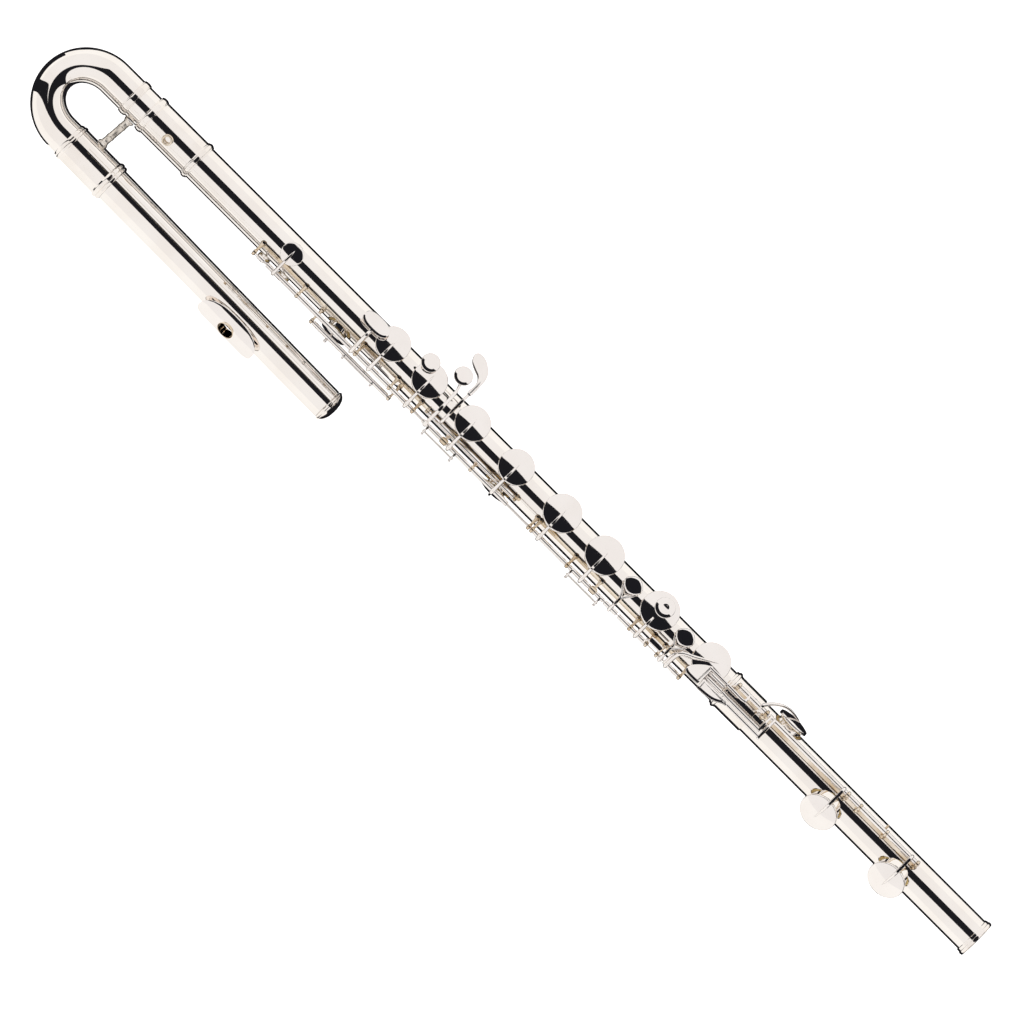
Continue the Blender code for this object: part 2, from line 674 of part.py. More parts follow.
def make_g_sharp_key():
    a = G_SHARP_HOLE[0]
    arm = wire("arm", [(a, *LEVER), (a, -15.0, 15.6), (a, -19.3, 15.6), (a, -22.2, 10.0),
                       (a, -23.8, 4.0), (a, -22.6, -2.0)], [0.9, 0.85, 0.85, 1.0, 1.0, 0.4])
    outline = [(418.9, 21), (418.9, 33), (418.4, 38), (416.8, 42), (413, 46), (408, 49.4),
               (403, 50.1), (399.6, 49.2), (398.1, 46.5), (399.2, 42.6), (402.5, 39.2), (407, 37.2),
               (411, 35.8), (413.8, 33), (415.2, 29), (415.4, 21)]
    tilt = math.radians(17.0)
    frame = Matrix.Translation(spot(417, 22, 19.4)) @ Matrix.Rotation(-tilt, 4, "X")
    local = [(x - 417, (y - 22) / math.cos(tilt)) for x, y in outline]
    wing = plate("wing", local, 1.5, frame)
    lever = wire("lever", [(417, *LEVER), (417, LEVER[0] + 3, LEVER[1] + 2.6), (417, -2, 20.2),
                           (417, 8, 21.4), (417, 16, 20.9), (417.2, 24, 18.8)],
                 [1.2, 1.2, 1.1, 1.1, 1.1, 1.0])
    key("g_sharp_key", 404.6, 498.9, LEVER,
        [side_cup(a, 13.2, SIDE_TILT), arm, wing, lever], [bore(404.6, 498.9, LEVER, 1.3)])
    pad("g_sharp_pad", 13.2, SIDE_HOLE, cup_frame(a, SIDE_TILT))


def make_lower_keys():
    a, r = LOWER_CUPS["f_sharp"]
    key("f_sharp_key", 529.0, 564.3, MAIN, [main_cup(a, r), main_arm(a, a, 3.0, cup_edge=15.8)])
    main_pad("f_sharp_pad", a, r)
    a, r = LOWER_CUPS["f"]
    tail = hinge("tube", 597.4, 606.0, MAIN)
    key("f_key", 568.0, 590.6, MAIN,
        [main_cup(a, r), main_arm(a, a, 3.0, cup_edge=16.0), tail] + bridge(571.5, 602.5),
        [bore(568.0, 606.0, MAIN)])
    main_pad("f_pad", a, r)
    a, r = LOWER_CUPS["e"]
    top = button(643.8, 3.5, 8.3, 23.0, 27.6)
    tab = block("tab", (12.5, 5.6, 1.0), Matrix.Translation(spot(658.9, -14.2, 24.4)))
    tab_arm = wire("tab_arm", [(651, *MAIN), (651, -16, 23.6), (655, -14.5, 24.4)], [1.0, 0.8, 0.8])
    key("e_key", 622.0, 651.9, MAIN,
        [main_cup(a, r), main_arm(a, a, -4.0, cup_edge=16.0), top, tab, tab_arm],
        [bore(622.0, 651.9, MAIN, ROD_BORE)])
    main_pad("e_pad", a, r)
    make_d_key()


def make_d_key():
    a, r = LOWER_CUPS["d"]
    over = 24.7
    path = [(676, *MAIN), (676, MAIN[0] + 0.2, MAIN[1] + 2.6)]
    for station, t in ((677.5, -13.5), (689, -6.5), (698, -1.0), (704, 2.5)):
        path.append((station, *on_cup(t, over + 0.2, MAIN_TILT, MAIN, MAIN_OPEN)))
    arm = wire("arm", path, [1.5, 1.5, 1.4, 1.4, 1.0, 0.4])
    side = [(673.6, *MAIN), (673.6, MAIN[0] + 0.5, MAIN[1] + 2.6)]
    side += [(675, -8.0, 26.2), (686.5, -2.2, 26.4)]
    link = wire("link", side, [1.1, 1.1, 1.0, 0.9])
    key("d_key", 672.4, 688.4, MAIN, [main_cup(a, r), arm, link],
        [bore(672.4, 688.4, MAIN, ROD_BORE)])
    main_pad("d_pad", a, r)


def trill_touch(a, root):
    """Rounded button facing straight up on a wishbone arm from the main axis."""
    profile = dome(8.8, 34.0, 26.0) + [(8.8, 24.6), (0, 24.6)]
    top = turned("touch", profile, Matrix.Translation(spot(a, 6.3, 0)), 16)
    arms = [wire("fork", [(a + side * 5.5, 0.5, 25.1), (root, -8.5, 24.4)], [1.1, 1.2])
            for side in (-1, 1)]
    stalk = wire("stalk", [(root, -7.5, 24.6), (root, -16, 23.8), (root, -19.6, 22.2),
                           (root, *MAIN)], [1.4, 1.4, 1.4, 1.4])
    return [top, stalk] + arms


def vent_arm(a0, a1):
    """Arm hidden below the main axis, down to a vent cup on the lower side of the tube."""
    path = [(a0, *MAIN), (a0, -20.6, 14), (a1 * 0.7 + a0 * 0.3, -21.2, 6), (a1, -21.4, -2),
            (a1, -19.9, -9.4)]
    return wire("vent_arm", path, [1.2, 1.0, 1.0, 1.0, 0.6])


def make_trill_keys():
    """The two trill keys share the main axis: a steel inside an inner tube inside the keys."""
    for name, vent, root, a0, a1, collars, touch_root in (
            ("d_trill", D_VENT, 235.5, 232.6, 620.6, ((233.2, 238.8), (607.0, 620.6)), (614.0, 613.6)),
            ("d_sharp_trill", D_SHARP_VENT, 226.5, 218.4, 691.0, ((223.4, 230.0), (666.8, 671.7)),
             (671.5, 669.2))):
        inner = ROD_R if name == "d_trill" else STEEL_R
        base = rod(name, a0, a1, inner, *MAIN)
        frame = cup_frame(vent[0], VENT_TILT)
        pieces = [hinge("collar", *span, MAIN) for span in collars]
        pieces += trill_touch(*touch_root)
        pieces += [cup("cup", 5.6, SIDE_HOLE, frame, 20.0), vent_arm(root, vent[0])]
        cuts = [bore(a0, a1, MAIN, ROD_BORE)] if name == "d_trill" else []
        fuse(base, pieces, cuts)
        keep(base, name + "_key", SILVER)
        pad(name + "_pad", 5.6, SIDE_HOLE, frame)


def make_thumb_key():
    a, hole = THUMB_HOLE
    frame = cup_frame(a, SIDE_TILT, THUMB, THUMB_OPEN)
    arm = wire("arm", [(a - 0.5, *THUMB), (a - 0.5, -27.4, 11.5), (a - 0.5, -26.8, 6.5),
                       (a - 0.5, -24.6, 1.0), (a - 0.5, -23.0, -3.5)], [1.3, 1.2, 1.1, 1.0, 0.5])
    plate_frame = Matrix.Translation(spot(352, -25.6, -5.5)) @ Matrix.Rotation(math.radians(95), 4, "X")
    touch = plate("touch", oval(11.0, 6.5, 16, 0.7), 1.5, plate_frame)
    drop = wire("drop", [(352, *THUMB), (352, -26.4, 8), (352, -26.0, -2)], [1.5, 1.3, 1.2])
    key("thumb_key", 291.0, 372.6, THUMB,
        [side_cup(a, 12.2, SIDE_TILT, THUMB, THUMB_OPEN), arm, touch, drop],
        [bore(291.0, 372.6, THUMB, 1.3)])
    pad("thumb_pad", 12.2, SIDE_HOLE, frame)


# ---------------------------------------------------------------- foot keys

def foot_arm(a, tip):
    """Arm from the foot rod over a foot cup's edge to a point past its centre."""
    knots = [(FOOT[0], FOOT[1] + 2.4), (2.0, 29.4)]
    knots += [on_cup(t, h, FOOT_TILT, FOOT, FOOT_OPEN) for t, h in ((14.5, 24.6), (8, 24.6), (0, 25.2))]
    points = [(a + 1.2, *FOOT)] + [(a + 1.2, p, z) for p, z in knots[:4]] + [(a + 0.6, *knots[4])]
    points.append((tip, *on_cup(-3.5, 24.9, FOOT_TILT, FOOT, FOOT_OPEN)))
    return wire("arm", points, [1.5, 1.5, 1.3, 1.3, 1.2, 0.9, 0.3])


def foot_cup(a, radius):
    return cup("cup", radius, TOP_HOLE, cup_frame(a, FOOT_TILT, FOOT, FOOT_OPEN))


def bar(points, radius=1.1):
    return wire("bar", points, [radius] * len(points))


def roller_pair(name, a0, a1, p, z):
    """Roller and the two cheeks and pin that hold it."""
    rim = [(1.75, a1), (1.75, a0)]
    roller = turned(name, rim + [(0.8, a0), (0.8, a1)], along_x(p, z), 12, ring=True)
    keep(roller, name, SILVER)
    cheeks = [block("cheek", (1.0, 2.6, 2.6), Matrix.Translation(spot(a, p, z)))
              for a in (a0 - 0.9, a1 + 0.9)]
    return cheeks + [rod("pin", a0 - 1, a1 + 1, 0.5, p, z, 8)]


TOUCH_Z = 31.8


def make_foot_d_sharp_key():
    a = FOOT_SIDE_HOLE[0]
    outline = [(703.6, 5.0), (699.5, 3.4), (696, 0.8), (692.8, -2.2), (690, -5.6), (688.5, -9),
               (689.2, -12), (692, -13.3), (701, -13.3), (703.4, -12.4)]
    frame = Matrix.Translation(spot(0, 0, TOUCH_Z + 0.4))
    wing = plate("wing", outline, 1.8, frame)
    rise = bar([(702.6, 3.3, TOUCH_Z), (712, 3.4, TOUCH_Z - 1.2), (739.8, 3.2, TOUCH_Z - 1.2),
                (739.8, FOOT[0], FOOT[1] + 1.2)])
    arm = wire("arm", [(752, *FOOT), (752.6, 12.5, 27.2), (757.5, 18.5, 24.6), (764, 22.6, 19.4),
                       (771, 24.0, 12.0), (779, 23.0, 3.8), (782, 22.6, 3.4)],
               [1.5, 1.5, 1.4, 1.3, 1.2, 1.0, 0.4])
    cheeks = roller_pair("d_sharp_roller", 706.2, 719.6, 0.3, TOUCH_Z - 0.6)
    carry = [bar([(x, 3.4, TOUCH_Z - 0.9), (x, 0.6, TOUCH_Z - 0.6)], 0.5) for x in (705.3, 720.5)]
    key("foot_d_sharp_key", 729.6, 756.8, FOOT,
        [side_cup(a, 13.8, FOOT_SIDE_TILT), wing, rise, arm] + cheeks + carry)
    pad("foot_d_sharp_pad", 13.8, SIDE_HOLE, cup_frame(a, FOOT_SIDE_TILT))


def make_foot_c_sharp_key():
    a, r = FOOT_CUPS["foot_c_sharp"]
    outline = [(705.0, -6.4), (722, -6.4), (728.5, -6.6), (731, -7.4), (731, -9.4), (727.5, -10.6),
               (722, -13.6), (716, -15.2), (708, -15.9), (705.0, -15.5)]
    frame = Matrix.Translation(spot(0, 0, TOUCH_Z))
    wing = plate("wing", outline, 1.8, frame)
    rail = bar([(728, -8.3, TOUCH_Z), (766.9, -8.4, TOUCH_Z - 0.4)])
    cross = bar([(766.9, -9.2, TOUCH_Z - 0.4), (766.9, 4, TOUCH_Z - 1.6), (766.9, 9.4, FOOT[1] + 1.2)], 1.3)
    key("foot_c_sharp_key", 765.4, 846.9, FOOT, [foot_cup(a, r), foot_arm(a, a), wing, rail, cross])
    pad("foot_c_sharp_pad", r, TOP_HOLE, cup_frame(a, FOOT_TILT, FOOT, FOOT_OPEN))


def make_low_c_key():
    a, r = FOOT_CUPS["low_c"]
    cheeks = roller_pair("low_c_roller", 706.2, 721.0, -3.9, TOUCH_Z)
    rail = bar([(721.9, -3.9, TOUCH_Z), (728, -4.3, TOUCH_Z - 0.6), (763.0, -4.3, TOUCH_Z - 1.4)])
    cross = bar([(763.0, -4.8, TOUCH_Z - 1.4), (763.0, 4, TOUCH_Z - 2.0), (763.0, 9.2, FOOT[1] + 1.2)], 1.2)
    base = rod("low_c_key", 761.4, 926.8, ROD_R, *FOOT)
    tubes = [hinge("collar", 761.4, 764.8, FOOT), hinge("tube", 850.1, 923.4, FOOT)]
    fuse(base, tubes + [foot_cup(a, r), foot_arm(a, a), rail, cross] + cheeks)
    keep(base, "low_c_key", SILVER)
    pad("low_c_pad", r, TOP_HOLE, cup_frame(a, FOOT_TILT, FOOT, FOOT_OPEN))


# ---------------------------------------------------------------- what moves with what

def carry(parent, names):
    """Parent the named parts without moving them."""
    bpy.context.view_layer.update()
    for name in names:
        part = bpy.data.objects[name]
        part.parent = parent
        part.matrix_parent_inverse = parent.matrix_world.inverted()


def pivot_empty(name, frame):
    made = bpy.data.objects.new(name, None)
    PARTS.objects.link(made)
    made.empty_display_size = 0.02
    return place_on(made, frame)


def assemble():
    """Pads and rollers follow their keys; each joint's pieces follow an empty on its axis."""
    keys = [part.name for part in PARTS.objects if part.name.endswith("_key")]
    for name in keys:
        own = name[:-4] + "_pad"
        carry(bpy.data.objects[name], [own] if own in bpy.data.objects else [])
    carry(bpy.data.objects["g_key"], ["g_upper_pad", "g_lower_pad"])
    carry(bpy.data.objects["foot_d_sharp_key"], ["d_sharp_roller"])
    carry(bpy.data.objects["low_c_key"], ["low_c_roller"])
    head = pivot_empty("head_pivot", Matrix.Translation(spot(76, 0, 0)))
    carry(head, ["u_bend", "tenon_ring", "head_tenon", "head_socket", "brace_rod", "head_tube",
                 "embouchure_riser", "lip_plate", "crown", "stopper_cork", "stopper_plate"])
    foot = pivot_empty("foot_pivot", Matrix.Translation(spot(736, 0, 0)))
    carry(foot, ["foot_socket", "foot_tube", "foot_end_ring", "foot_socket_posts", "foot_posts",
                 "foot_steel", "foot_d_sharp_key", "foot_c_sharp_key", "low_c_key"])


clear_scene()
PARTS = new_collection("bass_flute")
CUTTERS = new_collection("cutters")
make_head()
make_tubes()
make_posts()
make_steels()
make_c_sharp_key()
make_upper_keys()
make_g_sharp_key()
make_lower_keys()
make_trill_keys()
make_thumb_key()
make_foot_d_sharp_key()
make_foot_c_sharp_key()
make_low_c_key()
assemble()
for part in PARTS.objects:
    part.hide_render = False
    part.display_type = "TEXTURED"
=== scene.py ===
"""Looks of the bass flute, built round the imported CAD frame.

Positions are (station, across, up) in millimetres from the body tube's axis: stations run from the
head bend to the foot end, across points away from the head leg, and the frame gives the origin,
the hinge axes and the cups' places and sizes.
"""
import json
import math

import bmesh
import bpy
from mathutils import Matrix, Vector


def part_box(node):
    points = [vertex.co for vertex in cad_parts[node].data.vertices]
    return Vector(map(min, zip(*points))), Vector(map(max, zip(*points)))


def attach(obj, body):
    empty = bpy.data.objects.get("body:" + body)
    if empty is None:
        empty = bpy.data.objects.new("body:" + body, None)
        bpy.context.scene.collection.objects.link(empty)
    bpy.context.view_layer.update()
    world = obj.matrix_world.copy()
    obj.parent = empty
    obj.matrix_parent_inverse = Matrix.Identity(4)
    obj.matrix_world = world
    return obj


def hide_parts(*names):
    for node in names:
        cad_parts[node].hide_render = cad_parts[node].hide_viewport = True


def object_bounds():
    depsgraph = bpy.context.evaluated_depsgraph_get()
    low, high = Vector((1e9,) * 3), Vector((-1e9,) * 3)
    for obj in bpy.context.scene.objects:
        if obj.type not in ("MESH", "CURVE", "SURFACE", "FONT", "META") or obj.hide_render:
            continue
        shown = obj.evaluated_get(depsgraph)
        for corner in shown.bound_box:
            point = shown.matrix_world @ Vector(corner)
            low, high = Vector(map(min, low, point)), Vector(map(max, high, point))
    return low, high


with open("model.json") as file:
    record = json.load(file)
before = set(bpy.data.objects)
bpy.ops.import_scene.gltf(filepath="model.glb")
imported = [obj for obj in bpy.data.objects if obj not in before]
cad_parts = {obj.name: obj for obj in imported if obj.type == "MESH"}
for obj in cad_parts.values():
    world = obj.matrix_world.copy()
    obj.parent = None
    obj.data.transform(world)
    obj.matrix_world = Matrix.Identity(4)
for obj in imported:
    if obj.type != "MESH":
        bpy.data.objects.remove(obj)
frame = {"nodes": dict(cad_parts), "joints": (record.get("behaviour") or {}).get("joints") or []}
CAD_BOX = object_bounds()

MM = 0.001
ROUND = 96  # sides of a tube
FINE = 64  # sides of a cup
SMALL = 20  # sides of a rod


# ---------------------------------------------------------------- places from the frame

def middle(node):
    low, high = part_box(node)
    return (low + high) / 2


BEND_TIP = -1.5
AXIS = middle("tenon_ring")
ORIGIN = Vector((CAD_BOX[0][0] - BEND_TIP * MM, AXIS.y, AXIS.z))
JOINTS = {joint["name"]: joint for joint in frame["joints"]}


def spot(a, p, z):
    return ORIGIN + Vector((a, p, z)) * MM


def flute_mm(point):
    return (Vector(point) - ORIGIN) / MM


def pivot_of(joint):
    """(across, up) of a hinge axis that runs along the body."""
    place = flute_mm(JOINTS[joint]["pos_m"])
    return (place.y, place.z)


def span(node):
    low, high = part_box(node)
    return flute_mm(low).x, flute_mm(high).x


MAIN = pivot_of("a_pivot")
LEVER = pivot_of("g_sharp_pivot")
THUMB = pivot_of("thumb_pivot")
FOOT = pivot_of("foot_c_sharp_pivot")
HEAD_AXIS = Vector(JOINTS["crown_turn"]["axis"])
HEAD_ROOT = Vector(JOINTS["crown_turn"]["pos_m"])
HEAD_START = 45.0  # station where the bend ends and the head leg begins
LEG_SPACING = -flute_mm(HEAD_ROOT).y

MAIN_TILT, MAIN_OPEN = 19.5, 7.5
SMALL_TILT = 2.5
FOOT_TILT, FOOT_OPEN = -47.0, -7.5
SIDE_TILT, VENT_TILT, FOOT_SIDE_TILT = -82.0, -115.0, 80.0
THUMB_OPEN = -5.0
TOP_HOLE = {"rim": 18.9, "pad": 19.2, "edge": 22.3}
SIDE_HOLE = {"rim": 17.0, "pad": 17.3, "edge": 20.2}
HINGE_R, ROD_R, STEEL_R = 2.05, 1.3, 0.6
RIB_TILT, LOW_POST_TILT, FOOT_RIB_TILT = -37.0, -57.6, 21.0
PAD_INSET = 1.2


def cup_place(pad):
    """(station, cup radius) read from the CAD pad."""
    a0, a1 = span(pad)
    return (a0 + a1) / 2, (a1 - a0) / 2 + PAD_INSET


def swing(point, pivot, degrees):
    c, s = math.cos(math.radians(degrees)), math.sin(math.radians(degrees))
    dy, dz = point[0] - pivot[0], point[1] - pivot[1]
    return (pivot[0] + dy * c - dz * s, pivot[1] + dy * s + dz * c)


def cup_frame(a, tilt, pivot=(0.0, 0.0), opened=0.0):
    p, z = swing((0.0, 0.0), pivot, opened)
    return Matrix.Translation(spot(a, p, z)) @ Matrix.Rotation(-math.radians(tilt - opened), 4, "X")


def on_cup(t, h, tilt, pivot=(0.0, 0.0), opened=0.0):
    angle = math.radians(tilt)
    point = (h * math.sin(angle) + t * math.cos(angle), h * math.cos(angle) - t * math.sin(angle))
    return swing(point, pivot, opened)


def polar(tilt, r):
    angle = math.radians(tilt)
    return (r * math.sin(angle), r * math.cos(angle))


def along_x(p=0.0, z=0.0):
    """Turned heights are stations."""
    return Matrix.Translation(spot(0, p, z)) @ Matrix.Rotation(math.pi / 2, 4, "Y")


def head_frame(a):
    """X along the head leg, at station a of it."""
    turn = HEAD_AXIS.to_track_quat("X", "Z").to_matrix().to_4x4()
    return Matrix.Translation(HEAD_ROOT) @ turn @ Matrix.Translation(((a - HEAD_START) * MM, 0, 0))


def along_head():
    return head_frame(0.0) @ Matrix.Rotation(math.pi / 2, 4, "Y")


# ---------------------------------------------------------------- shells: (vertices, faces)

def loft(rings, loop=False):
    """Skin between rings; a ring of one point is a pole, and open ends are capped."""
    verts, starts = [], []
    for ring in rings:
        starts.append(len(verts))
        verts += ring
    faces = []
    pairs = list(zip(range(len(rings) - 1), range(1, len(rings))))
    if loop:
        pairs.append((len(rings) - 1, 0))
    for i, j in pairs:
        n, m = len(rings[i]), len(rings[j])
        for k in range(max(n, m)):
            near = [starts[i] + k % n, starts[i] + (k + 1) % n][:min(n, 2)]
            far = [starts[j] + (k + 1) % m, starts[j] + k % m][:min(m, 2)]
            faces.append(tuple(near + far))
    if not loop:
        for i in (0, -1):
            if len(rings[i]) > 2:
                faces.append(tuple(range(starts[i], starts[i] + len(rings[i]))))
    return verts, faces


def lathe(profile, matrix, sides=FINE, ring=False):
    rings = []
    for r, h in profile:
        if r < 1e-6:
            rings.append([matrix @ Vector((0, 0, h * MM))])
            continue
        turns = [2 * math.pi * k / sides for k in range(sides)]
        rings.append([matrix @ Vector((r * math.cos(t) * MM, r * math.sin(t) * MM, h * MM)) for t in turns])
    return loft(rings, ring)


def sleeve(outer, bore, matrix, sides=ROUND):
    """Hollow turned shell from (station, radius) pairs, outside and inside."""
    return lathe([(r, a) for a, r in reversed(outer)] + [(r, a) for a, r in bore], matrix, sides, True)


def catmull(points, steps, closed=False):
    """Smooth curve through the points."""
    count = len(points)
    found = []
    for i in range(count if closed else count - 1):
        knots = [points[(i + k) % count] if closed else points[min(max(i + k, 0), count - 1)]
                 for k in (-1, 0, 1, 2)]
        for j in range(steps):
            t = j / steps
            p0, p1, p2, p3 = knots
            found.append(0.5 * ((2 * p1) + (p2 - p0) * t + (2 * p0 - 5 * p1 + 4 * p2 - p3) * t ** 2
                                + (3 * p1 - p0 - 3 * p2 + p3) * t ** 3))
    return found if closed else found + [points[-1]]


def sweep(points, radii, sides=16, steps=5, flat=1.0, round_ends=True):
    """Smooth tapered bar through (station, across, up) points; flat squeezes it vertically."""
    knots = [Vector((*point, radius)) if len(point) == 3 else Vector(point)
             for point, radius in zip(points, radii)]
    line = catmull(knots, steps)
    places = [Vector(knot[:3]) for knot in line]
    sizes = [max(knot[3], 0.05) for knot in line]
    rings = []
    side = None
    for i, place in enumerate(places):
        tangent = (places[min(i + 1, len(places) - 1)] - places[max(i - 1, 0)]).normalized()
        if side is None:
            level = Vector((0, 0, 1)) if abs(tangent.z) < 0.9 else Vector((0, 1, 0))
            side = tangent.cross(level).normalized()
        side = (side - tangent * side.dot(tangent)).normalized()
        above = side.cross(tangent)
        rings.append((place, side, above, sizes[i], tangent))
    shaped = []
    ends = [(-0.85, 0.5), (-0.5, 0.85)] if round_ends else []
    sequence = [(*rings[0], shift, scale) for shift, scale in ends]
    sequence += [(*ring, 0.0, 1.0) for ring in rings]
    sequence += [(*rings[-1], -shift, scale) for shift, scale in reversed(ends)]
    for place, side, above, size, tangent, shift, scale in sequence:
        centre = place + tangent * shift * size
        ring = []
        for k in range(sides):
            turn = 2 * math.pi * k / sides
            offset = (side * math.cos(turn) + above * math.sin(turn) * flat) * size * scale
            ring.append(spot(*(centre + offset)))
        shaped.append(ring)
    return loft(shaped)


def rod(a0, a1, radius, p, z, sides=SMALL, edge=0.15):
    profile = [(0, a1), (radius - edge, a1), (radius, a1 - edge),
               (radius, a0 + edge), (radius - edge, a0), (0, a0)]
    return lathe(profile, along_x(p, z), sides)


def tube_key(a0, a1, pivot, radius=HINGE_R):
    """Hinge tube with a turned collar line near each end."""
    groove = 0.12
    profile = [(0, a1), (radius - 0.25, a1), (radius, a1 - 0.25)]
    for end, step in ((a1, -1), (a0, 1)):
        lines = [(radius, end + step * 1.5), (radius - groove, end + step * 1.65),
                 (radius - groove, end + step * 1.85), (radius, end + step * 2.0)]
        profile += lines if step < 0 else list(reversed(lines))
    profile += [(radius, a0 + 0.25), (radius - 0.25, a0), (0, a0)]
    return lathe(profile, along_x(*pivot), 28)


def ball(radius, a, p, z, sides=16):
    rings = 9
    profile = [(radius * math.sin(math.pi * i / rings), radius * math.cos(math.pi * i / rings))
               for i in range(rings + 1)]
    profile[0], profile[-1] = (0, radius), (0, -radius)
    return lathe(profile, Matrix.Translation(spot(a, p, z)), sides)


def inset(outline, distance):
    """Outline moved inwards along its corner normals."""
    area = sum(p.x * q.y - q.x * p.y for p, q in zip(outline, outline[1:] + outline[:1]))
    sign = 1 if area > 0 else -1
    found = []
    for i, point in enumerate(outline):
        along = (outline[(i + 1) % len(outline)] - outline[i - 1]).normalized()
        found.append(point + Vector((-along.y, along.x)) * sign * distance)
    return found


BEVEL, BEVEL_SLOPE = 1.5, 0.25  # mm across and fall per mm: the shallow bevel round a touch


def slab(outline, thickness, matrix, edge=0.5, steps=4):
    """Plate with a flat face, a shallow bevel and rounded edges from an (x, y) outline."""
    line = [Vector(point) for point in outline]
    if steps:
        line = catmull(line, steps, True)
    half = thickness / 2
    slope = BEVEL * BEVEL_SLOPE
    levels = [(BEVEL + 1.0, half + slope), (BEVEL + 0.1, half + slope), (BEVEL - 0.1, half + slope - 0.03),
              (edge * 0.5, half + 0.03), (edge * 0.3, half - 0.02), (0.0, half - edge * 0.7),
              (0.0, -half + edge * 0.5), (edge * 0.4, -half)]
    rings = [[matrix @ Vector((q.x * MM, q.y * MM, z * MM)) for q in inset(line, depth)]
             for depth, z in levels]
    return loft(rings)


def oval(long_half, short_half, steps, power=1.0):
    """Ellipse outline; a power under 1 squares it off and one over 1 draws it toward a diamond."""
    found = []
    for i in range(steps):
        t = 2 * math.pi * i / steps
        c, s = math.cos(t), math.sin(t)
        x = long_half * math.copysign(abs(c) ** power, c)
        found.append((x, short_half * math.copysign(abs(s) ** power, s)))
    return found


# ---------------------------------------------------------------- materials

def shader_nodes(name):
    made = bpy.data.materials.new(name)
    made.use_nodes = True
    nodes, links = made.node_tree.nodes, made.node_tree.links
    return made, nodes, links, nodes["Principled BSDF"]


def noise(nodes, links, scale, detail=3.0, stretch=(1, 1, 1)):
    place = nodes.new("ShaderNodeTexCoord")
    mapping = nodes.new("ShaderNodeMapping")
    mapping.inputs["Scale"].default_value = stretch
    links.new(place.outputs["Object"], mapping.inputs["Vector"])
    texture = nodes.new("ShaderNodeTexNoise")
    texture.inputs["Scale"].default_value = scale
    texture.inputs["Detail"].default_value = detail
    links.new(mapping.outputs["Vector"], texture.inputs["Vector"])
    return texture.outputs["Fac"]


def ramp(nodes, links, value, stops):
    made = nodes.new("ShaderNodeValToRGB")
    links.new(value, made.inputs["Fac"])
    for element, (place, colour) in zip(made.color_ramp.elements, stops):
        element.position = place
        element.color = (*colour, 1.0)
    return made.outputs["Color"]


def spread(nodes, links, value, low, high):
    made = nodes.new("ShaderNodeMapRange")
    links.new(value, made.inputs["Value"])
    made.inputs["To Min"].default_value = low
    made.inputs["To Max"].default_value = high
    return made.outputs["Result"]


def bump(nodes, links, height, strength, distance, shader):
    made = nodes.new("ShaderNodeBump")
    made.inputs["Strength"].default_value = strength
    made.inputs["Distance"].default_value = distance
    links.new(height, made.inputs["Height"])
    links.new(made.outputs["Normal"], shader.inputs["Normal"])


def silver(name, light, dark, rough, stretch=(1, 1, 1)):
    """Polished silver plate: faint tarnish clouds, wiping marks in the gloss, fine hairlines; the brown
    tones given for the posts are painted reflection and painted shade.
    """
    made, nodes, links, shader = shader_nodes(name)
    shader.inputs["Metallic"].default_value = 1.0
    clouds = noise(nodes, links, 38.0, 4.0)
    links.new(ramp(nodes, links, clouds, ((0.35, dark), (0.62, light))), shader.inputs["Base Color"])
    wipes = noise(nodes, links, 90.0, 3.0, stretch)
    links.new(spread(nodes, links, wipes, rough * 0.6, rough * 1.5), shader.inputs["Roughness"])
    hairs = noise(nodes, links, 900.0, 2.0, stretch)
    bump(nodes, links, hairs, 0.02, 0.0001, shader)
    return made


def pad_skin():
    made, nodes, links, shader = shader_nodes("amber_pad_skin")
    clouds = noise(nodes, links, 120.0, 4.0)
    links.new(ramp(nodes, links, clouds, ((0.3, (0.50, 0.33, 0.10)), (0.7, (0.80, 0.62, 0.26)))),
              shader.inputs["Base Color"])
    shader.inputs["Roughness"].default_value = 0.42
    shader.inputs["Sheen Weight"].default_value = 0.2
    bump(nodes, links, noise(nodes, links, 1400.0, 3.0), 0.25, 0.0002, shader)
    return made


def cork_skin():
    made, nodes, links, shader = shader_nodes("cork_grain")
    grain = noise(nodes, links, 420.0, 6.0)
    links.new(ramp(nodes, links, grain, ((0.35, (0.24, 0.13, 0.06)), (0.6, (0.60, 0.42, 0.25)))),
              shader.inputs["Base Color"])
    shader.inputs["Roughness"].default_value = 0.85
    bump(nodes, links, grain, 0.6, 0.0006, shader)
    return made


def steel_skin():
    made, nodes, links, shader = shader_nodes("needle_steel")
    shader.inputs["Metallic"].default_value = 1.0
    clouds = noise(nodes, links, 200.0, 2.0, (0.05, 1, 1))
    links.new(ramp(nodes, links, clouds, ((0.3, (0.38, 0.38, 0.40)), (0.7, (0.66, 0.66, 0.68)))),
              shader.inputs["Base Color"])
    links.new(spread(nodes, links, clouds, 0.14, 0.28), shader.inputs["Roughness"])
    return made


TUBE_SILVER = silver("tube_silver", (0.965, 0.935, 0.905), (0.935, 0.895, 0.855), 0.035, (0.15, 1, 1))
RING_SILVER = silver("ring_silver", (0.96, 0.925, 0.89), (0.90, 0.85, 0.80), 0.06, (1, 0.2, 0.2))
KEY_SILVER = silver("key_silver", (0.955, 0.925, 0.905), (0.925, 0.89, 0.865), 0.045)
SATIN_SILVER = silver("satin_silver", (0.96, 0.925, 0.885), (0.88, 0.82, 0.74), 0.32)
# Brown light and dark tones for the posts, ribs, strap loop and embouchure wall: painted reflection of the
# brown pads and springs, and painted shade among the keywork.
PAINTED_REFLECTION_AND_SHADE_SILVER = silver("post_silver_painted_reflection_and_shade", (0.90, 0.82, 0.71), (0.62, 0.48, 0.32), 0.10)
PAD = pad_skin()
CORK = cork_skin()
STEEL = steel_skin()


# ---------------------------------------------------------------- pieces

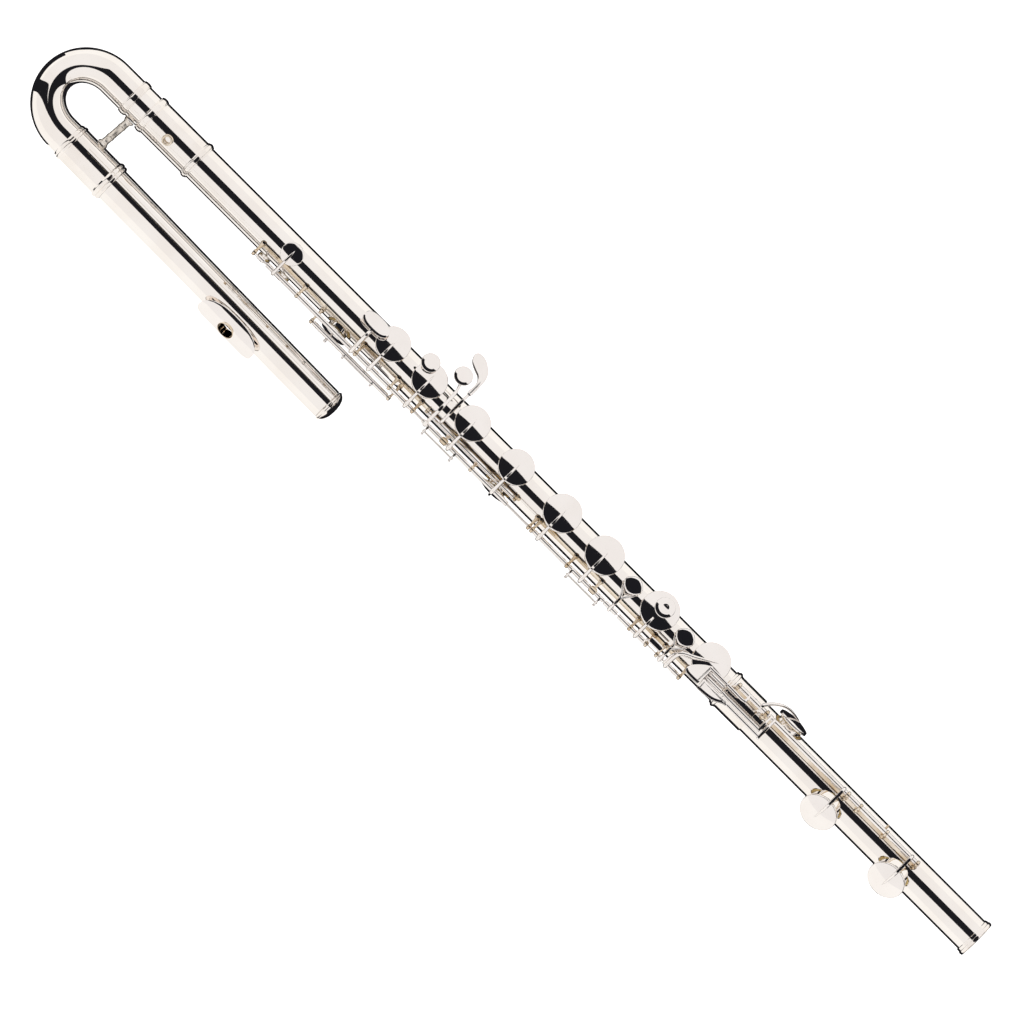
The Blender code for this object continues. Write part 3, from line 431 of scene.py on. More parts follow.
def mesh_of(name, shells, material, sharp=40.0):
    verts, faces = [], []
    for shell_verts, shell_faces in shells:
        start = len(verts)
        verts += shell_verts
        faces += [tuple(start + i for i in face) for face in shell_faces]
    mesh = bpy.data.meshes.new(name)
    mesh.from_pydata([tuple(v) for v in verts], [], faces)
    bm = bmesh.new()
    bm.from_mesh(mesh)
    bmesh.ops.recalc_face_normals(bm, faces=bm.faces)
    bm.to_mesh(mesh)
    bm.free()
    mesh.materials.append(material)
    mesh.shade_smooth()
    mesh.set_sharp_from_angle(angle=math.radians(sharp))
    obj = bpy.data.objects.new(name, mesh)
    bpy.context.scene.collection.objects.link(obj)
    return obj


def piece(name, body, material, shells, nodes=(), sharp=40.0):
    """A visible piece on a body, standing for CAD nodes."""
    return enrol(mesh_of(name, shells, material, sharp), body, nodes)


def enrol(obj, body, nodes=()):
    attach(obj, body)
    if nodes:
        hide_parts(*nodes)
    return obj


def tubing(name, body, shells, nodes=()):
    return piece(name, body, TUBE_SILVER, shells, nodes)


def turning(name, body, shells, nodes=()):
    return piece(name, body, RING_SILVER, shells, nodes)


def keywork(name, body, shells, nodes=()):
    return piece(name, body, KEY_SILVER, shells, nodes)


# Posts, ribs and strap loop get the silver with painted brown reflection and painted shade.
def posts_piece(name, body, shells, nodes=()):
    return piece(name, body, PAINTED_REFLECTION_AND_SHADE_SILVER, shells, nodes)


def boolean(base, cutter, operation):
    modifier = base.modifiers.new(operation.lower(), "BOOLEAN")
    modifier.operation = operation
    modifier.object = cutter
    graph = bpy.context.evaluated_depsgraph_get()
    mesh = bpy.data.meshes.new_from_object(base.evaluated_get(graph))
    base.modifiers.clear()
    base.data = mesh
    bpy.data.objects.remove(cutter, do_unlink=True)


def round_normals(obj, matrix, radius_at, sharp=35.0):
    """Exact normals of the turned outside, so that cuts in it leave its reflections straight."""
    mesh = obj.data
    mesh.shade_smooth()
    mesh.set_sharp_from_angle(angle=math.radians(sharp))
    inverse = matrix.inverted()
    turn = matrix.to_3x3()
    normals = [Vector(corner.vector) for corner in mesh.corner_normals]
    for face in mesh.polygons:
        facing = inverse.to_3x3() @ face.normal
        for loop in face.loop_indices:
            local = inverse @ mesh.vertices[mesh.loops[loop].vertex_index].co / MM
            outward = Vector((local.x, local.y, 0.0))
            if abs(outward.length - radius_at(local.z)) < 0.08 and facing.dot(outward.normalized()) > 0.98:
                normals[loop] = turn @ outward.normalized()
    mesh.normals_split_custom_set(normals)


# ---------------------------------------------------------------- head joint

BEND_DEPTH = 33.1  # from the ends of the legs to the middle of the tube at the bend's tip
BEND_R, TIP_R = 15.0, 13.4  # outer radius at the legs, and at the tip, where the tube is drawn thinner


def bend_path(steps=64):
    """(station, across) of the bend's middle line, from the tenon round to the head leg."""
    depth, spread_p = BEND_DEPTH, LEG_SPACING / 2
    points = [(66.5, 0.0), (56.0, 0.0)]
    points += [(HEAD_START - depth * math.sin(t), spread_p * (math.cos(t) - 1))
               for t in (math.pi * i / steps for i in range(steps + 1))]
    return points + [(52.0, -LEG_SPACING), (57.0, -LEG_SPACING)], depth


def make_bend():
    path, depth = bend_path()
    knots = [Vector((a, p, 0)) for a, p in path]
    rings = []
    for shrink, order in ((0.0, 1), (0.6, -1)):
        shell = []
        for i, knot in enumerate(knots):
            tangent = (knots[min(i + 1, len(knots) - 1)] - knots[max(i - 1, 0)]).normalized()
            side = Vector((-tangent.y, tangent.x, 0))
            into = max(0.0, HEAD_START - knot.x) / depth
            size = BEND_R + (TIP_R - BEND_R) * into ** 2 - shrink
            turns = [2 * math.pi * k / ROUND for k in range(ROUND)]
            shell.append([spot(*(knot + side * math.cos(t) * size + Vector((0, 0, 1)) * math.sin(t) * size))
                          for t in turns])
        rings += shell[::order]
    tubing("bend_tube", "head", [loft(rings, True)], ["u_bend"])


def bead(a, r, half, height):
    """(station, radius) points of a round bead standing on a radius."""
    return [(a + half * math.sin(t), r + height * math.cos(t))
            for t in (math.pi * (i / 10 - 0.5) for i in range(11))]


def make_head_rings():
    ring = [(63.7, 15.6), (63.9, 15.9)] + bead(67.0, 15.9, 2.4, 0.4) + [(70.1, 15.9), (70.3, 15.6)]
    turning("tenon_collar", "head", [sleeve(ring, [(63.7, 15.4), (70.3, 15.4)], along_x())], ["tenon_ring"])
    tenon = [(66.8, 15.0), (82.0, 15.0), (82.1, 14.65), (124.6, 14.65), (125, 14.4)]
    tenon_bore = [(66.8, 14.1), (125, 14.1)]
    tubing("tenon_tube", "head_tenon", [sleeve(tenon, tenon_bore, along_x())], ["head_tenon"])
    socket = [(53, 15.6), (53.3, 15.9), (55, 16.2)] + bead(57.3, 16.1, 1.5, 0.9)
    socket += [(59.3, 16.1), (95, 16.1), (95.5, 16.6)] + bead(97.6, 16.9, 1.6, 0.6)
    socket += [(99.6, 16.6), (100.1, 16.9), (101.4, 16.9), (102.2, 16.4), (102.6, 15.8)]
    socket_bore = [(53, 15.4), (102.6, 15.4)]
    turning("head_leg_socket", "head", [sleeve(socket, socket_bore, along_head())], ["head_socket"])


def make_brace():
    start, end = (74.4, -42.6, 0.0), (76.4, -16.6, 0.0)
    line = Matrix.Translation(spot(*start))
    axis = Vector(end) - Vector(start)
    line = line @ axis.to_track_quat("Z", "Y").to_matrix().to_4x4()
    length = axis.length
    profile = [(0, length + 1.4), (4.4, length + 1.4), (4.6, length + 0.4), (3.9, length - 0.8),
               (3.3, length - 1.4), (3.1, length - 2.6)]
    for centre in (0.74 * length, 0.28 * length):
        profile += [(3.1, centre + 1.2), (3.35, centre + 0.8), (3.35, centre - 0.8), (3.1, centre - 1.2)]
    profile += [(3.1, 2.6), (3.3, 1.4), (3.9, 0.8), (4.6, -0.4), (4.4, -1.4), (0, -1.4)]
    piece("leg_brace", "head", SATIN_SILVER, [lathe(profile, line, 48)], ["brace_rod"])


EMBOUCHURE, LIP_TILT = 246.5, -53.0
HOLE_LONG, HOLE_SHORT = 7.4, 6.8
LIP_RADIUS = 20.9
LIP_LONG, LIP_HALF = 29.5, 16.8  # half the plate's length, and half its arc
LIP_FLAT, LIP_DIP = 7.0, 2.6  # arc where the top edge begins to dip, and how far it goes


def head_radius(a):
    """Outer radius of the tapering head tube at a station of it."""
    stops = [(57.0, 14.95), (102.5, 14.8), (215.0, 14.0), (343.5, 13.55)]
    for (a0, r0), (a1, r1) in zip(stops, stops[1:]):
        if a <= a1:
            return r0 + (r1 - r0) * max(0.0, a - a0) / (a1 - a0)
    return stops[-1][1]


def lip_frame():
    return head_frame(EMBOUCHURE) @ Matrix.Rotation(-math.radians(LIP_TILT), 4, "X")


def on_lip(x, arc, radius):
    """World place of a point of the lip plate: x along the head, arc round it; its top edge dips."""
    angle = arc / LIP_RADIUS
    radius -= LIP_DIP * max(0.0, (arc - LIP_FLAT) / (LIP_HALF - LIP_FLAT)) ** 1.5
    return lip_frame() @ Vector((x * MM, radius * math.sin(angle) * MM, radius * math.cos(angle) * MM))


def make_head_tube():
    outer = [(a, head_radius(a)) for a in range(57, 344, 13)] + [(343.5, head_radius(343.5))]
    obj = mesh_of("head_pipe", [sleeve(outer, [(a, r - 0.5) for a, r in outer], along_head())], TUBE_SILVER)
    plug = [[lip_frame() @ Vector((x * MM, y * MM, z * MM)) for x, y in oval(HOLE_LONG, HOLE_SHORT, 64)]
            for z in (8.0, 22.0)]
    boolean(obj, mesh_of("plug", [loft(plug)], TUBE_SILVER), "DIFFERENCE")
    round_normals(obj, along_head(), head_radius)
    enrol(obj, "head", ["head_tube"])


def make_lip_plate():
    count = 96
    edge = oval(LIP_LONG, LIP_HALF, count, 0.86)
    hole = oval(HOLE_LONG, HOLE_SHORT, count)
    shares = [0.0, 0.02, 0.06, 0.15, 0.3, 0.5, 0.7, 0.85, 0.94, 0.98, 1.0]
    rings = []
    for side in (1, -1):
        for share in (shares if side > 0 else shares[::-1]):
            near = min(share, 1 - share)
            drop = 0.45 * (1 - min(1.0, near / 0.06)) ** 2
            lift = (0.62 - drop) * side
            ring = [(h[0] + (e[0] - h[0]) * share, h[1] + (e[1] - h[1]) * share) for h, e in zip(hole, edge)]
            rings.append([on_lip(x, arc, LIP_RADIUS + lift) for x, arc in ring])
    keywork("lip_rest", "head", [loft(rings, True)], ["lip_plate"])
    walls = []
    for grow, levels in ((0.0, (21.2, 19.0, 16.0, 13.0)), (1.2, (13.0, 16.0, 19.0, 20.6))):
        for level in levels:
            wide = grow + (level - 13.0) * (0.02 if grow else -0.02)
            walls.append([lip_frame() @ Vector((x * MM, y * MM, level * MM))
                          for x, y in oval(HOLE_LONG + wide, HOLE_SHORT + wide, 64)])
    # Painted shade: the wall inside the embouchure hole takes the silver with brown painted reflection and
    # shade.
    piece("embouchure_wall", "head", PAINTED_REFLECTION_AND_SHADE_SILVER, [loft(walls, True)], ["embouchure_riser"])


def make_stopper():
    profile = [(0, 351.9), (3, 351.8), (6.5, 351.3), (9.5, 350.3), (11.6, 349.0), (12.9, 347.6),
               (13.4, 346.9)]
    profile += [(13.4 + 0.9 * math.sin(math.pi * i / 8), 346.6 - 2.6 * i / 8) for i in range(9)]
    profile += [(13.2, 343.9), (12.4, 343.8), (12.4, 338.4), (12.0, 338), (2.0, 338), (2.0, 284), (0, 284)]
    turning("head_crown", "crown", [lathe(profile, along_head(), FINE)], ["crown"])
    for name, material in (("stopper_cork", CORK), ("stopper_plate", RING_SILVER)):
        assign(name, material)


def assign(node, material):
    """A carried-over CAD node takes a finished material."""
    mesh = frame["nodes"][node].data
    mesh.materials.clear()
    mesh.materials.append(material)


# ---------------------------------------------------------------- body and foot tubes

BODY_R, FOOT_R, BORE_R = 15.4, 15.3, 14.8
HOLE_INSET = 3.4
SIDE_HOLE_R, FOOT_SIDE_HOLE_R, VENT_HOLE_R, C_SHARP_HOLE_R = 8.2, 10.2, 3.2, 7.0
CHIMNEY_FOOT = 11.0  # inside the tube's wall, from its axis
MAIN_PADS = ("b_flat_pad", "a_pad", "g_upper_pad", "g_lower_pad", "f_sharp_pad", "f_pad", "e_pad", "d_pad")


def chimney(a, radius, tilt, heights):
    """Solid tone hole chimney with a rolled rim; its hole is cut later."""
    rim = heights["rim"]
    profile = [(0, rim - 0.25), (radius, rim - 0.25), (radius + 0.25, rim), (radius + 0.75, rim),
               (radius + 1.0, rim - 0.25), (radius + 1.0, rim - 0.7), (radius + 0.8, rim - 0.9),
               (radius + 0.8, CHIMNEY_FOOT), (0, CHIMNEY_FOOT)]
    return lathe(profile, cup_frame(a, tilt), 72)


def pierced(name, node, body, start, end, radius, holes):
    """Tube with its chimneys, its bore and its tone holes."""
    profile = [(0, end), (radius - 0.1, end), (radius, end - 0.1), (radius, start + 0.1),
               (radius - 0.1, start), (0, start)]
    shell = mesh_of(name, [lathe(profile, along_x(), ROUND)], TUBE_SILVER)
    boolean(shell, mesh_of("chimneys", [chimney(*hole) for hole in holes], TUBE_SILVER), "UNION")
    half = along_x() @ Matrix.Rotation(math.pi / ROUND, 4, "Z")
    bore = [(0, end + 2), (BORE_R, end + 2), (BORE_R, start - 2), (0, start - 2)]
    boolean(shell, mesh_of("bore", [lathe(bore, half, ROUND)], TUBE_SILVER), "DIFFERENCE")
    for a, hole_r, tilt, _ in holes:
        column = [(0, 26), (hole_r, 26), (hole_r, 3), (0, 3)]
        turned = cup_frame(a, tilt) @ Matrix.Rotation(0.02, 4, "Z")
        boolean(shell, mesh_of("hole", [lathe(column, turned, 72)], TUBE_SILVER), "DIFFERENCE")
    round_normals(shell, along_x(), lambda _: radius)
    enrol(shell, body, [node])


def small_hole(pad, radius, tilt, heights=SIDE_HOLE):
    return (cup_place(pad)[0], radius, tilt, heights)


def make_tubes():
    holes = [small_hole("c_sharp_pad", C_SHARP_HOLE_R, SMALL_TILT, TOP_HOLE)]
    for name in MAIN_PADS:
        a, r = cup_place(name)
        holes.append((a, r - HOLE_INSET, MAIN_TILT, TOP_HOLE))
    holes += [small_hole(name, SIDE_HOLE_R, SIDE_TILT) for name in ("thumb_pad", "g_sharp_pad")]
    holes += [small_hole(name, VENT_HOLE_R, VENT_TILT) for name in ("d_trill_pad", "d_sharp_trill_pad")]
    pierced("body_pipe", "body_tube", "body", *span("body_tube"), BODY_R, holes)
    holes = [small_hole("foot_d_sharp_pad", FOOT_SIDE_HOLE_R, FOOT_SIDE_TILT)]
    for name in ("foot_c_sharp_pad", "low_c_pad"):
        a, r = cup_place(name)
        holes.append((a, r - HOLE_INSET, FOOT_TILT, TOP_HOLE))
    pierced("foot_pipe", "foot_tube", "foot", *span("foot_tube"), FOOT_R, holes)
    make_tube_rings()


def make_tube_rings():
    """Barrel, foot socket, foot end ring and strap eye."""
    barrel = [(82.5, 16.1), (82.8, 16.6)] + bead(85.7, 16.5, 2.3, 0.6)
    barrel += [(88.6, 16.6), (89, 15.9), (132.8, 15.9)]
    barrel += [(133.4, 16.5)] + bead(136.0, 16.6, 1.8, 0.7) + [(138.4, 16.5), (139, 16.1)]
    barrel_bore = [(82.5, 15.0), (132.6, 15.0), (132.7, 15.75), (139, 15.75)]
    turning("barrel_sleeve", "body", [sleeve(barrel, barrel_bore, along_x())], ["barrel"])
    socket = [(720, 16.2), (720.4, 16.6), (721.4, 16.7)] + bead(723.5, 16.8, 1.6, 1.0)
    socket += [(725.6, 16.7), (726.6, 16.3), (752.4, 16.3), (753, 16.0)]
    socket_bore = [(720, 15.75), (753, 15.75)]
    turning("foot_leg_socket", "foot", [sleeve(socket, socket_bore, along_x())], ["foot_socket"])
    end = [(995.5, 15.9), (995.8, 16.2), (997.2, 16.3)] + bead(999.6, 16.4, 1.5, 0.7)
    end += [(1001.2, 16.9), (1001.5, 16.6)]
    end_bore = [(995.5, 15.65), (997.9, 15.65), (998, 14.9), (1001.5, 14.9)]
    turning("foot_end_bead", "foot", [sleeve(end, end_bore, along_x())], ["foot_end_ring"])
    loop = Matrix.Translation(spot(109, -5.2, 16.3)) @ Matrix.Rotation(0.33, 4, "X")
    eye = [(3.6 + 1.0 * math.cos(t), 0.8 * math.sin(t) + 0.6)
           for t in (2 * math.pi * i / 14 for i in range(14))]
    posts_piece("strap_loop", "body", [lathe(eye, loop, 40, True)], ["strap_eye"])


# ---------------------------------------------------------------- posts and rods

UPPER_POSTS = (219.5, 267.0, 331.5, 369.0, 395.0, 429.0, 459.5)
LOWER_POSTS = (523.5, 527.0, 566.0, 594.0, 635.5, 653.5, 665.0, 690.0)
LEVER_POSTS = (403.0, 500.5)
THUMB_POSTS = (289.0, 374.5)
FOOT_POSTS = (758.5, 848.5, 862.0, 891.0, 925.0)
WIDE_POSTS = (429.0, 594.0)
# (station of the post, side that the spring runs to)
BODY_SPRINGS = ((267, 1), (331.5, 1), (369, 1), (395, -1), (459.5, 1), (527, 1), (566, 1), (635.5, 1),
                (690, -1), (219.5, 1))
# (station of the post, side of the rod, length)
FOOT_SPRINGS = ((848.5, -1, 16.5), (925.0, -1, 16.0), (758.5, 1, 14.5))


def rib(a0, a1, tilt, low, high, width):
    """Long strap soldered to the tube, with rounded ends and a curved underside."""
    rings = []
    half = width / 2
    plan = ((a0, 0.35), (a0 + 0.6, 0.8), (a0 + 1.4, 1.0), (a1 - 1.4, 1.0), (a1 - 0.6, 0.8), (a1, 0.35))
    section = ((-1, low), (-1, high - 0.25), (-0.82, high), (0.82, high), (1, high - 0.25), (1, low))
    for a, share in plan:
        ring = []
        for side, level in section:
            angle = math.degrees(side * half * share / high)
            ring.append(spot(a, *polar(tilt + angle, level)))
        rings.append(ring)
    return loft(rings)


def post(a, tilt, pivot, length=2.6, radius=2.9, width=1.3):
    """Flared foot, tapered stem and the eye that a rod runs through."""
    base = Vector(polar(tilt, 16.3))
    line = Vector(pivot) - base
    neck = base + line * (1 - (radius - 0.4) / line.length)
    points = [(a, *(base + line * share)) for share in (0.0, 0.12, 0.35, 0.6)] + [(a, *neck)]
    widths = [width * 2.0, width * 1.35, width * 1.0, width * 0.85, width * 0.95]
    half = length / 2
    eye = [(0, a + half + 0.25), (radius * 0.45, a + half + 0.2), (radius * 0.8, a + half - 0.05),
           (radius, a + half - 0.45), (radius, a - half + 0.45), (radius * 0.8, a - half + 0.05),
           (radius * 0.45, a - half - 0.2), (0, a - half - 0.25)]
    return [sweep(points, widths, 14, 4, round_ends=False), lathe(eye, along_x(*pivot), 28)]


def low_post(a, pivot, length=2.6, radius=2.9, width=1.3):
    """Post on a strap that runs down the tube from the rib, clear of what the rib carries."""
    strap = [(a, *polar(tilt, 16.35)) for tilt in (-38, -46, LOW_POST_TILT)]
    foot = sweep(strap, [1.1, 1.1, 1.2], 12, 4, 0.55)
    return [foot] + post(a, LOW_POST_TILT, pivot, length, radius, width)


def spring(a0, p0, z0, a1, p1, z1):
    """Needle spring from a post to its key's catch."""
    return sweep([(a0, p0, z0), ((a0 + a1) / 2, (p0 + p1) / 2 - 0.4, (z0 + z1) / 2), (a1, p1, z1)],
                 [0.3, 0.25, 0.2], 8, 4)


def make_springs():
    p, z = MAIN
    springs = [spring(a, p - 1.6, z - 2.2, a + step * 16, p + 1.2, z - 4.2) for a, step in BODY_SPRINGS]
    piece("body_springs", "body", STEEL, springs)
    p, z = FOOT
    springs = [spring(a, p + side * 1.2, z - 2.6, a - length, p + side * 2.2, z - 4.4)
               for a, side, length in FOOT_SPRINGS]
    piece("foot_springs", "foot", STEEL, springs)


def make_steels():
    for name, body, pivot, radius in (("lever_steel", "body", LEVER, 0.95),
                                      ("thumb_steel", "body", THUMB, 0.95),
                                      ("foot_steel", "foot", FOOT, 1.3)):
        a0, a1 = span(name)
        piece(name + "_rod", body, STEEL, [rod(a0, a1, radius, *pivot)], [name])


def make_posts():
    shells = [rib(217.5, 504.0, RIB_TILT, 15.3, 16.6, 3.8)]
    for a in UPPER_POSTS:
        length = 6.0 if a in WIDE_POSTS else 2.6
        nested = LEVER_POSTS[0] < a < LEVER_POSTS[1]
        shells += low_post(a, MAIN, length) if nested else post(a, RIB_TILT, MAIN, length)
    for a in THUMB_POSTS:
        shells += low_post(a, THUMB, 2.6, 2.4, 1.1)
    for a in LEVER_POSTS:
        shells += post(a, RIB_TILT, LEVER, 2.4, 2.0, 1.0)
    posts_piece("upper_post_rib", "body", shells, ["upper_posts"])
    shells = [rib(521.5, 692.0, RIB_TILT, 15.3, 16.6, 3.8)]
    for a in LOWER_POSTS:
        shells += post(a, RIB_TILT, MAIN, 6.0 if a in WIDE_POSTS else 2.6)
    posts_piece("lower_post_rib", "body", shells, ["lower_posts"])
    shells = [rib(726.8, 751.5, FOOT_RIB_TILT, 16.2, 17.5, 3.4)] + post(728.0, FOOT_RIB_TILT, FOOT)
    posts_piece("socket_post_rib", "foot", shells, ["foot_socket_posts"])
    shells = [rib(755.5, 927.0, FOOT_RIB_TILT, 15.2, 16.6, 3.6)]
    for a in FOOT_POSTS:
        shells += post(a, FOOT_RIB_TILT, FOOT)
    stud = [(888.5, *polar(40, 15.2)), (888.5, *polar(42, 18.6)), (888.5, *polar(44, 20.2))]
    shells.append(sweep(stud, [1.5, 0.9, 1.2], 14, 4))
    posts_piece("foot_post_rib", "foot", shells, ["foot_posts"])
    make_springs()
    make_steels()


# ---------------------------------------------------------------- cups, pads and arms

DOME_R, SMALL_DOME_R, SIDE_DOME_R, VENT_DOME_R = 52.0, 30.0, 40.0, 20.0
PAD_DEPTH = 2.8
RAIL_FLAT = 0.5  # height over width of a flat-topped lever
WING_LEAN = -14.0  # degrees
TOUCH_DOME_R = 190.0


def dome_height(r, radius, sphere, edge):
    return edge + math.sqrt(sphere ** 2 - r ** 2) - math.sqrt(sphere ** 2 - radius ** 2)


def cup(radius, heights, matrix, sphere=DOME_R):
    """Pad cup: shallow dome, rolled edge, short skirt and the pocket for its pad."""
    edge, low = heights["edge"], heights["pad"] + 0.7
    rim = radius - 0.35
    shell = [(rim * i / 12, dome_height(rim * i / 12, radius, sphere, edge)) for i in range(13)]
    shell += [(radius - 0.1, edge - 0.08), (radius, edge - 0.4), (radius, low + 0.2), (radius - 0.15, low),
              (radius - 0.65, low), (radius - 0.8, low + 0.2),
              (radius - 0.8, heights["pad"] + PAD_DEPTH + 0.2),
              (0, heights["pad"] + PAD_DEPTH + 0.2)]
    return lathe(shell, matrix, 72)


def pad_disc(name, body, radius, heights, matrix):
    low, high, size = heights["pad"], heights["pad"] + PAD_DEPTH, radius - 1.0
    bulge = [(size, high), (size, low + 0.9), (size - 0.2, low + 0.35), (size - 0.8, low),
             (size * 0.6, low + 0.02), (size * 0.35, low + 0.1), (0, low + 0.1)]
    piece(name[:-4] + "_skin", body, PAD, [lathe([(0, high)] + bulge, matrix, 64)], [name])


def on_main(t, h):
    """(across, up) of a place on a main cup's plane, as the cup stands open."""
    return on_cup(t, h, MAIN_TILT, MAIN, MAIN_OPEN)


def main_frame(a):
    return cup_frame(a, MAIN_TILT, MAIN, MAIN_OPEN)


def main_arm(a, radius):
    """Pointed arm: a strong root at the rod, a ridge over the dome, a fine point past its centre."""
    line = ((-radius + 3.0, 0.45), (-radius * 0.5, 0.35), (0.0, 0.1), (4.6, -0.1))
    points = [(a, MAIN[0] - 2.6, MAIN[1] + 0.4), (a, MAIN[0] - 0.4, MAIN[1] + 2.7)]
    points.append((a, *on_main(-radius - 0.6, TOP_HOLE["edge"] + 0.9)))
    for t, lift in line:
        points.append((a, *on_main(t, dome_height(abs(t), radius, DOME_R, TOP_HOLE["edge"]) + lift)))
    return [sweep(points, [1.5, 1.7, 1.35, 1.25, 1.05, 0.75, 0.15], 16, 6, 0.9)]


def main_cup(pad_name, body):
    a, radius = cup_place(pad_name)
    matrix = main_frame(a)
    pad_disc(pad_name, body, radius, TOP_HOLE, matrix)
    return cup(radius, TOP_HOLE, matrix)


def button(a, t, radius, low, high, hollow=0.0):
    """Round touch on a short stalk, standing on the cup plane; hollow is the radius of a dish in it."""
    flat, shoulder = radius - 2.6, radius - 0.8
    profile = [(flat * i / 8, high - TOUCH_DOME_R + math.sqrt(TOUCH_DOME_R ** 2 - (flat * i / 8) ** 2))
               for i in range(9)]
    if hollow:
        dish = [(hollow * i / 6, high - hollow * 0.30 + (i / 6) ** 2 * hollow * 0.22) for i in range(6)]
        dish += [(hollow, high - 0.1), (hollow + 0.5, high)]
        profile = dish + [q for q in profile if q[0] > hollow + 1.0]
    top = profile[-1][1]
    profile += [(flat + 0.2, top - 0.03), (shoulder - 0.2, top - 0.43), (shoulder, top - 0.49)]
    profile += [(shoulder + 0.8 * math.sin(t), top - 0.49 - 0.8 * (1 - math.cos(t)))
                for t in (math.pi / 12 * i for i in range(2, 7))]
    profile += [(radius - 0.1, top - 1.7), (radius * 0.8, top - 2.0), (radius * 0.5, top - 2.4),
                (radius * 0.45, low), (0, low)]
    return lathe(profile, main_frame(a) @ Matrix.Translation((0, t * MM, 0)), 56)


def bridge(a0, a1):
    """Outrigger bar on two arms that carries a key past a post, its ends finished with balls."""
    out = (MAIN[0] - 5.4, MAIN[1] + 0.6)
    shells = [sweep([(a0 - 1, *out), ((a0 + a1) / 2, *out), (a1 + 1, *out)], [0.9, 0.9, 0.9], 16, 2)]
    for a in (a0, a1):
        stem = [(a, MAIN[0], MAIN[1] + 1.2), (a, MAIN[0] - 3, MAIN[1] + 1.3), (a, out[0] - 1.6, out[1])]
        shells.append(sweep(stem, [1.1, 0.95, 0.9], 14, 4))
        shells.append(ball(1.25, a, out[0] - 2.4, out[1]))
    return shells


# ---------------------------------------------------------------- body keys

def make_c_sharp_key():
    a, radius = cup_place("c_sharp_pad")
    matrix = cup_frame(a, SMALL_TILT, MAIN, MAIN_OPEN)
    pad_disc("c_sharp_pad", "c_sharp", radius, TOP_HOLE, matrix)
    points = [(a, MAIN[0] - 2.2, MAIN[1] + 0.4), (a, MAIN[0], MAIN[1] + 2.5)]
    for t, h in ((-9.8, 23.3), (-4, 23.85), (0, 23.9), (3.4, 23.6)):
        points.append((a, *on_cup(t, h, SMALL_TILT, MAIN, MAIN_OPEN)))
    arm = sweep(points, [1.4, 1.6, 1.3, 1.1, 0.8, 0.15], 16, 6)
    touch_frame = main_frame(327.3) @ Matrix.Translation((0, 0, 28.5 * MM))
    touch = slab(oval(12.7, 6.6, 24, 0.78), 2.2, touch_frame, 0.8, 3)
    reach = [(327.5, MAIN[0] - 2.2, MAIN[1] + 0.4), (327.5, MAIN[0], MAIN[1] + 2.7)]
    reach += [(327.5, *on_main(t, 27.2)) for t in (-13, -6, 1)]
    lever = sweep(reach, [1.5, 1.7, 1.5, 1.4, 1.0], 16, 5)
    keywork("c_sharp_lever", "c_sharp",
            [tube_key(239.5, 329.9, MAIN), cup(radius, TOP_HOLE, matrix, SMALL_DOME_R), arm, touch, lever],
            ["c_sharp_key"])


def make_plain_key(name, tubes, extra=()):
    """Main-line key with one cup: its pieces, and its hinge tubes' (start, end) stations."""
    a, radius = cup_place(name + "_pad")
    shells = [main_cup(name + "_pad", name)] + main_arm(a, radius) + list(extra)
    shells += [tube_key(*ends, MAIN) for ends in tubes]
    keywork(name + "_lever", name, shells, [name + "_key"])


def make_upper_keys():
    make_plain_key("b_flat", [(333.1, 367.4)])
    make_plain_key("a", [(370.6, 393.4)], [button(cup_place("a_pad")[0] - 9.1, 9.6, 7.8, 23.0, 27.4)])
    shells = []
    for name in ("g_upper_pad", "g_lower_pad"):
        a, radius = cup_place(name)
        shells += [main_cup(name, "g")] + main_arm(a, radius)
    reach = [(409.0, MAIN[0] - 2.2, MAIN[1] + 0.4), (409.0, MAIN[0], MAIN[1] + 2.7)]
    for a, t, h in ((409.3, -12, 25.4), (409.0, 4, 24.6), (407.5, 12, 24.4), (404.5, 19, 24.4)):
        reach.append((a, *on_main(t, h)))
    shells.append(sweep(reach, [1.5, 1.6, 1.35, 1.35, 1.3, 1.3], 18, 5, RAIL_FLAT))
    shells.append(button(403.9, 20.8, 7.8, 23.2, 27.0))
    shells += [tube_key(405.5, 425.6, MAIN), tube_key(432.4, 499.0, MAIN)] + bridge(412.5, 442.5)
    keywork("g_lever", "g", shells, ["g_key"])


def make_g_sharp_key():
    a, radius = cup_place("g_sharp_pad")
    matrix = cup_frame(a, SIDE_TILT)
    pad_disc("g_sharp_pad", "g_sharp", radius, SIDE_HOLE, matrix)
    arm = sweep([(a, LEVER[0] + 1.2, LEVER[1] + 1.0), (a, -15.0, 16.2), (a, -19.3, 15.6), (a, -22.2, 10.5),
                 (a, -23.6, 4.5), (a, -22.8, -2.0)], [1.2, 1.0, 0.95, 1.05, 0.9, 0.2], 14, 6)
    outline = [(415.2, 21), (415.3, 28), (414.6, 32.2), (411.8, 35.3), (407, 37.2), (402.2, 39.6),
               (399.2, 42.8), (398.1, 46.5), (399.6, 49.2), (403, 50.1), (408, 49.2), (413, 46),
               (416.8, 42), (418.5, 37.5), (419.0, 32), (418.9, 21)]
    tilt = math.radians(17.0)
    plane = Matrix.Translation(spot(417, 22, 19.4)) @ Matrix.Rotation(-tilt, 4, "X")
    wing = slab([(x - 417, (y - 22) / math.cos(tilt)) for x, y in outline], 1.5, plane, 0.6, 4)
    lever = sweep([(417, LEVER[0], LEVER[1] + 1.0), (417, LEVER[0] + 3, LEVER[1] + 2.7), (417, -2, 20.2),
                   (417, 8, 21.4), (417, 16, 20.9), (417.1, 24, 19.0), (417.1, 29, 17.4)],
                  [1.3, 1.3, 1.25, 1.25, 1.25, 1.1, 0.8], 18, 5, RAIL_FLAT)
    keywork("g_sharp_lever", "g_sharp",
            [tube_key(404.6, 498.9, LEVER),
             cup(radius, SIDE_HOLE, matrix, SIDE_DOME_R), arm, wing, lever], ["g_sharp_key"])


